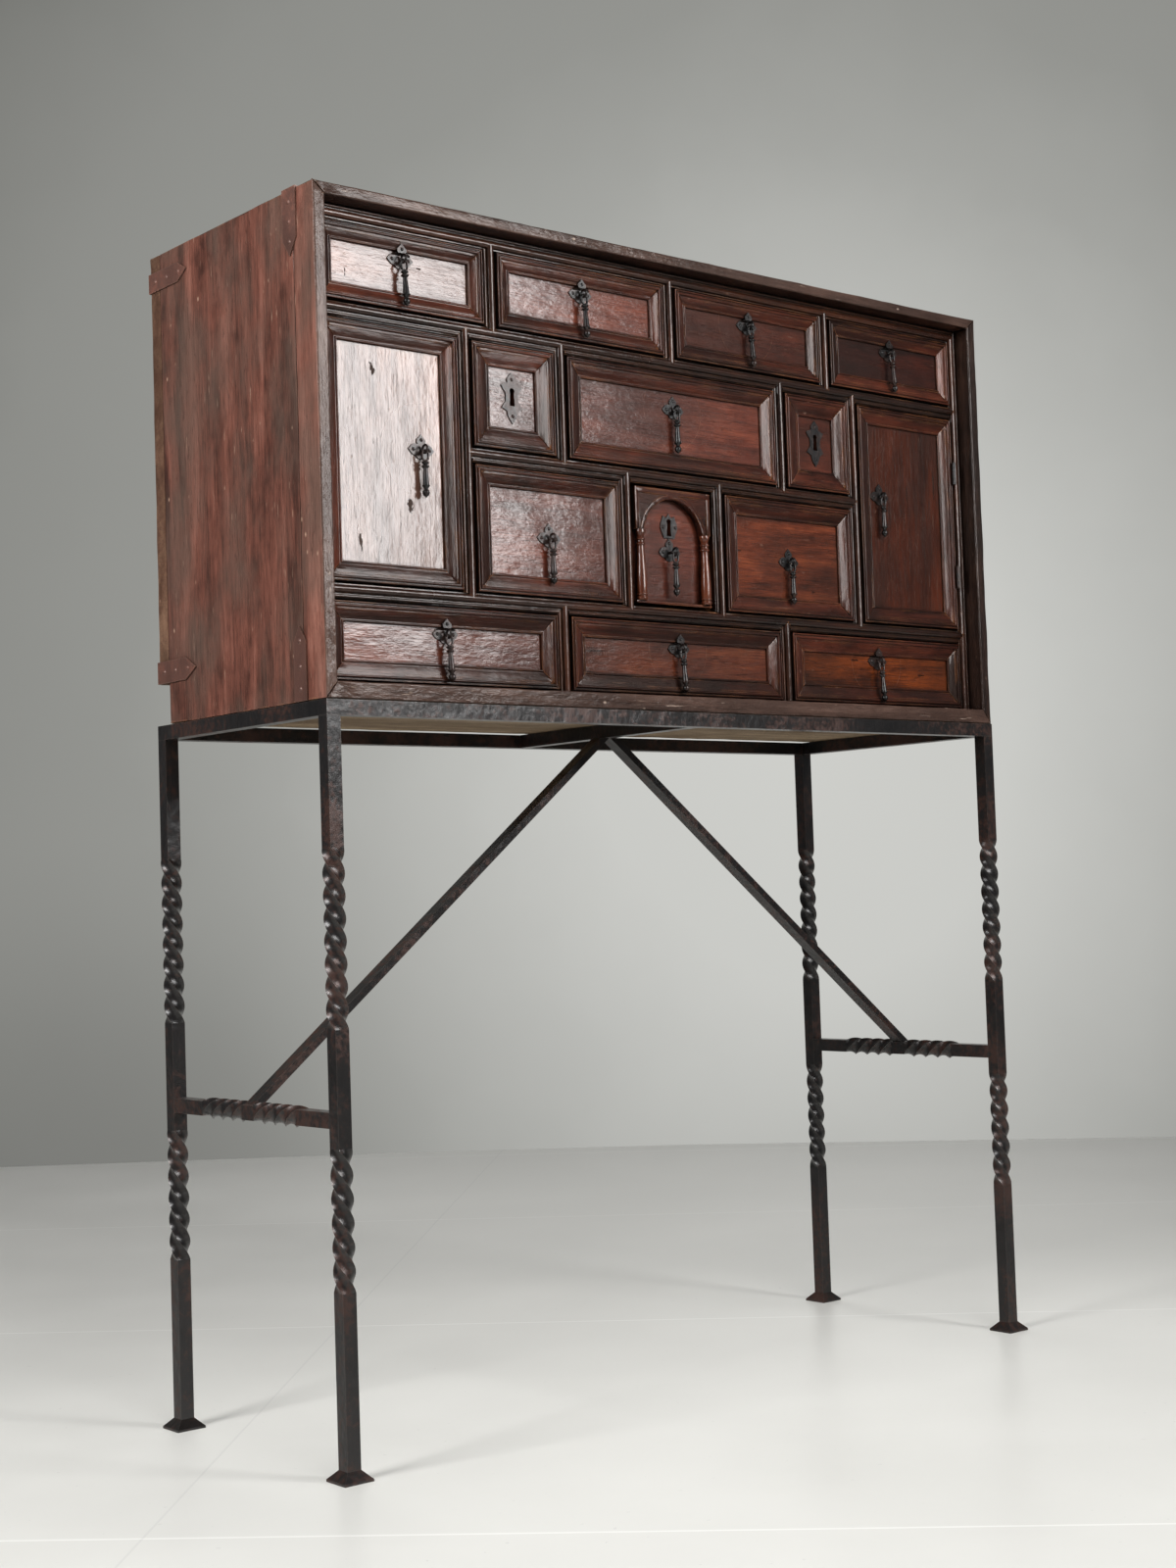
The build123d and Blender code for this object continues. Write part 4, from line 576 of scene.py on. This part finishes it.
def dress_case():
    side = wood("case_side_wood", (58, 34, 28), (106, 65, 54), (140, 95, 82), rough=0.5, coat=0.1, shade_and_grime=0.6,
                pore=0.3, nicked=0.8, nick=(168, 138, 118), lumps=0.0009, smudge=(84, 70, 62))
    top = wood("case_wood", (30, 18, 14), (60, 36, 28), (96, 64, 52), rough=0.36, coat=0.5, shade_and_grime=0.6,
               lumps=0.0013, nicked=0.5, wear_and_highlight=0.6)
    edge = wood("edge_wood", (48, 34, 29), (78, 58, 50), (104, 82, 73), rough=0.36, coat=0.3, shade_and_grime=0.5,
                lumps=0.0012, nicked=0.8, nick=(170, 150, 136), wear_and_highlight=0.5, worn=(150, 120, 100))
    # a darker copy of the edge wood: painted shade on the right side's front edge; it also goes on faces that
    # look inward
    dark_and_shaded_edge = wood("dark_and_shaded_edge_wood", (16, 11, 9), (36, 24, 20), (66, 46, 37), rough=0.33, coat=0.4,
                     shade_and_grime=0.6, lumps=0.0012, wear_and_highlight=0.7, worn=(126, 98, 80))
    below = wood("underside_wood", (96, 80, 62), (132, 113, 90), (158, 140, 114), rough=0.7, coat=0.0,
                 shade_and_grime=0.5)
    back = wood("back_wood", (56, 38, 29), (90, 64, 51), (120, 92, 74), rough=0.62, coat=0.0, shade_and_grime=0.6,
                nicked=0.5)
    inner = wood("inner_wood", *RAW_WOOD, rough=0.62, coat=0.0, shade_and_grime=0.7)
    # the strips' worn colour is light and orange, as a painted highlight along their beads
    strip = wood("strip_wood", (20, 10, 7), (46, 23, 14), (80, 43, 26), rough=0.28, coat=0.6, shade_and_grime=1.0,
                 wear_and_highlight=0.8, worn=(158, 104, 64), gleam=0.9)
    for name, material, front, grain in (
        ("case_left_side", side, edge, 2), ("case_right_side", side, dark_and_shaded_edge, 2),
        ("case_top", top, edge, 0), ("case_bottom", top, edge, 0), ("case_back", back, back, 0),
        ("shelves", inner, inner, 0), ("partitions", inner, inner, 1),
    ):
        piece = worked(name, rounding=0.0012, step=0.014, worn=0.0009, grain=grain, kind=edge_kind)
        dress(piece, material, front, below if name == "case_bottom" else material, dark_and_shaded_edge)
    for name in ("front_strips", "cornice_and_stile"):
        dress(worked(name, rounding=0.0004, step=0.02, worn=0.0004), strip)
    turned = wood("colonette_wood", (48, 20, 11), (92, 44, 25), (126, 68, 42), rough=0.22, coat=0.9)
    dress(worked("colonettes_lower_2", rounding=0.0002, step=0.05, worn=0.0), turned)


def dress_iron():
    fittings = iron("fitting_iron", rust=0.25, dark=(9, 8, 8), light=(20, 18, 17), rubbed_and_highlit=(62, 56, 52),
                    hammer=0.0005)
    straps = iron("strap_iron", rust=0.6, dark=(74, 48, 40), light=(104, 70, 60), rusted=(110, 66, 52),
                  rubbed_and_highlit=(150, 122, 106), rough=0.45)
    stand = iron("stand_iron", rust=0.45)
    for name, node in NODES.items():
        if name == "corner_straps":
            dress(node, straps)
        elif SLOTS[name] == "fitting_iron":
            dress(node, fittings)
        elif SLOTS[name] == "stand_iron":
            dress(node, stand)


# ---------------------------------------------------------------- room, lamps and camera
def flat_mesh(name, corners, faces):
    mesh = bpy.data.meshes.new(name)
    mesh.from_pydata(corners, [], faces)
    piece = bpy.data.objects.new(name, mesh)
    bpy.context.scene.collection.objects.link(piece)
    return piece


def floor():
    half = FLOOR_HALF
    corners = [(-half, -half, 0), (half, -half, 0), (half, half, 0), (-half, half, 0)]
    piece = flat_mesh("floor", corners, [(0, 1, 2, 3)])
    look = Look("floor")
    place = look.node("TexCoord").outputs["Object"]
    parts = look.node("SeparateXYZ", {0: place})
    normal_x, normal_y = SEAM_NORMAL
    over = look.add(look.times(parts.outputs[0], normal_x), look.times(parts.outputs[1], normal_y))
    row = look.maths("DIVIDE", look.maths("SUBTRACT", over, SEAM_FIRST), SEAM_SPACING)
    off_seam = look.maths("ABSOLUTE", look.maths("SUBTRACT", row, look.maths("ROUND", row)))
    seam = look.smooth(off_seam, 0.0012, 0.0028, 1, 0)
    onward = look.add(look.times(parts.outputs[0], normal_y), look.times(parts.outputs[1], -normal_x))
    off_cross = look.maths("ABSOLUTE", look.maths("SUBTRACT", onward, CROSS_SEAM))
    cross = look.smooth(off_cross, 0.0008, 0.002, 1, 0)
    clouds = look.noise(place, (2, 2, 2), detail=5)
    specks = look.noise(place, (90, 90, 90), detail=3)
    colour = look.mix(look.smooth(clouds, 0.3, 0.7), *(srgb(*shade) for shade in FLOOR_COLOURS))
    colour = look.mix(look.smooth(specks, 0.7, 0.75, 0, 0.3), colour, srgb(*FLOOR_SPECKS))
    colour = look.mix(look.times(seam, 0.65), colour, srgb(*SEAM_COLOUR))
    colour = look.mix(look.times(cross, 0.2), colour, srgb(*CROSS_SEAM_COLOUR))
    normal = look.bump(look.noise(place, (6, 6, 6), detail=3), 0.0006)
    gloss = look.smooth(clouds, 0.3, 0.7, 0.3, 0.38)
    dress(piece, look.finish(colour, gloss, normal))


def wall():
    corners = [(x, y, z) for x, y in WALL_LINE for z in (0, WALL_HEIGHT)]
    faces = [(2 * index, 2 * index + 2, 2 * index + 3, 2 * index + 1) for index in range(len(WALL_LINE) - 1)]
    piece = flat_mesh("wall", corners, faces)
    look = Look("wall")
    place = look.node("TexCoord").outputs["Object"]
    clouds = look.noise(place, (1.3, 1.3, 1.3), detail=5)
    colour = look.mix(look.smooth(clouds, 0.3, 0.7), *(srgb(*shade) for shade in WALL_COLOURS))
    normal = look.bump(look.noise(place, (60, 60, 60), detail=3), 0.0008)
    look.finish(colour, look.smooth(clouds, 0.3, 0.7, 0.7, 0.8), normal)
    # seen by the camera and in reflections, the wall emits a painted pool of light with a painted shadow
    seen = look.node("LightPath")
    direct = look.maths("MAXIMUM", seen.outputs["Is Camera Ray"], seen.outputs["Is Glossy Ray"])
    along = look.node("VectorMath", {0: place, 1: WALL_ALONG}, operation="DOT_PRODUCT").outputs["Value"]
    height = look.node("SeparateXYZ", {0: place}).outputs[2]
    away = distance(look, along, height, WALL_PAINTED_LIGHT, WALL_PAINTED_LIGHT_REACH)
    away = look.add(away, look.smooth(clouds, 0.3, 0.7, -0.05, 0.05))
    shade = look.ramp(look.times(away, 1 / WALL_PAINTED_LIGHT_END), WALL_PAINTED_LIGHT_STOPS)
    # painted shadow, low on the left
    low = look.smooth(distance(look, along, height, WALL_PAINTED_SHADOW, (1, 1)), 0.1, 0.95, 0.3, 0)
    shade = look.mix(low, shade, grey(60))
    painted_glow = look.node("Emission", {"Color": shade}).outputs[0]
    front = look.node("MixShader", {0: direct, 1: look.shader.outputs[0], 2: painted_glow}).outputs[0]
    behind = look.node("NewGeometry").outputs["Backfacing"]
    clear = look.node("BsdfTransparent").outputs[0]
    both = look.node("MixShader", {0: behind, 1: front, 2: clear}).outputs[0]
    look.put(look.tree.nodes["Material Output"].inputs["Surface"], both)
    dress(piece, look.material)


def softbox(name, place, target, size, watts, mirrored, lighting):
    data = bpy.data.lights.new(name, "AREA")
    data.shape = "RECTANGLE"
    data.size, data.size_y = size
    data.energy = watts
    lamp = bpy.data.objects.new(name, data)
    bpy.context.scene.collection.objects.link(lamp)
    lamp.location = place
    lamp.rotation_euler = (Vector(target) - Vector(place)).to_track_quat("-Z", "Y").to_euler()
    lamp.visible_glossy = mirrored
    lamp.visible_diffuse = lighting


def room_light():
    world = bpy.data.worlds.new("studio")
    bpy.context.scene.world = world
    world.use_nodes = True
    background = world.node_tree.nodes["Background"]
    background.inputs["Color"].default_value = srgb(*WORLD_COLOUR)
    path = world.node_tree.nodes.new("ShaderNodeLightPath")
    seen = world.node_tree.nodes.new("ShaderNodeMath")
    seen.operation = "MAXIMUM"
    world.node_tree.links.new(path.outputs["Is Camera Ray"], seen.inputs[0])
    world.node_tree.links.new(path.outputs["Is Glossy Ray"], seen.inputs[1])
    strength = world.node_tree.nodes.new("ShaderNodeMapRange")
    strength.inputs["To Min"].default_value = WORLD_LIGHT
    strength.inputs["To Max"].default_value = WORLD_SEEN
    world.node_tree.links.new(seen.outputs[0], strength.inputs["Value"])
    world.node_tree.links.new(strength.outputs[0], background.inputs["Strength"])


def camera():
    forward = Vector((
        math.sin(CAMERA_YAW) * math.cos(CAMERA_PITCH),
        math.cos(CAMERA_YAW) * math.cos(CAMERA_PITCH),
        math.sin(CAMERA_PITCH),
    ))
    level = Vector((math.cos(CAMERA_YAW), -math.sin(CAMERA_YAW), 0))
    upright = level.cross(forward)
    right = math.cos(CAMERA_ROLL) * level + math.sin(CAMERA_ROLL) * upright
    up = -math.sin(CAMERA_ROLL) * level + math.cos(CAMERA_ROLL) * upright
    turn = Matrix((right, up, -forward)).transposed().to_4x4()
    data = bpy.data.cameras.new("camera")
    data.lens = CAMERA_LENS
    made = bpy.data.objects.new("camera", data)
    bpy.context.scene.collection.objects.link(made)
    made.matrix_world = Matrix.Translation(CAMERA_PLACE) @ turn
    bpy.context.scene.camera = made


dress_fronts()
dress_case()
dress_iron()
floor()
wall()
for lamp in LAMPS:
    softbox(*lamp)
room_light()
camera()
bpy.context.scene.view_settings.view_transform = "Standard"
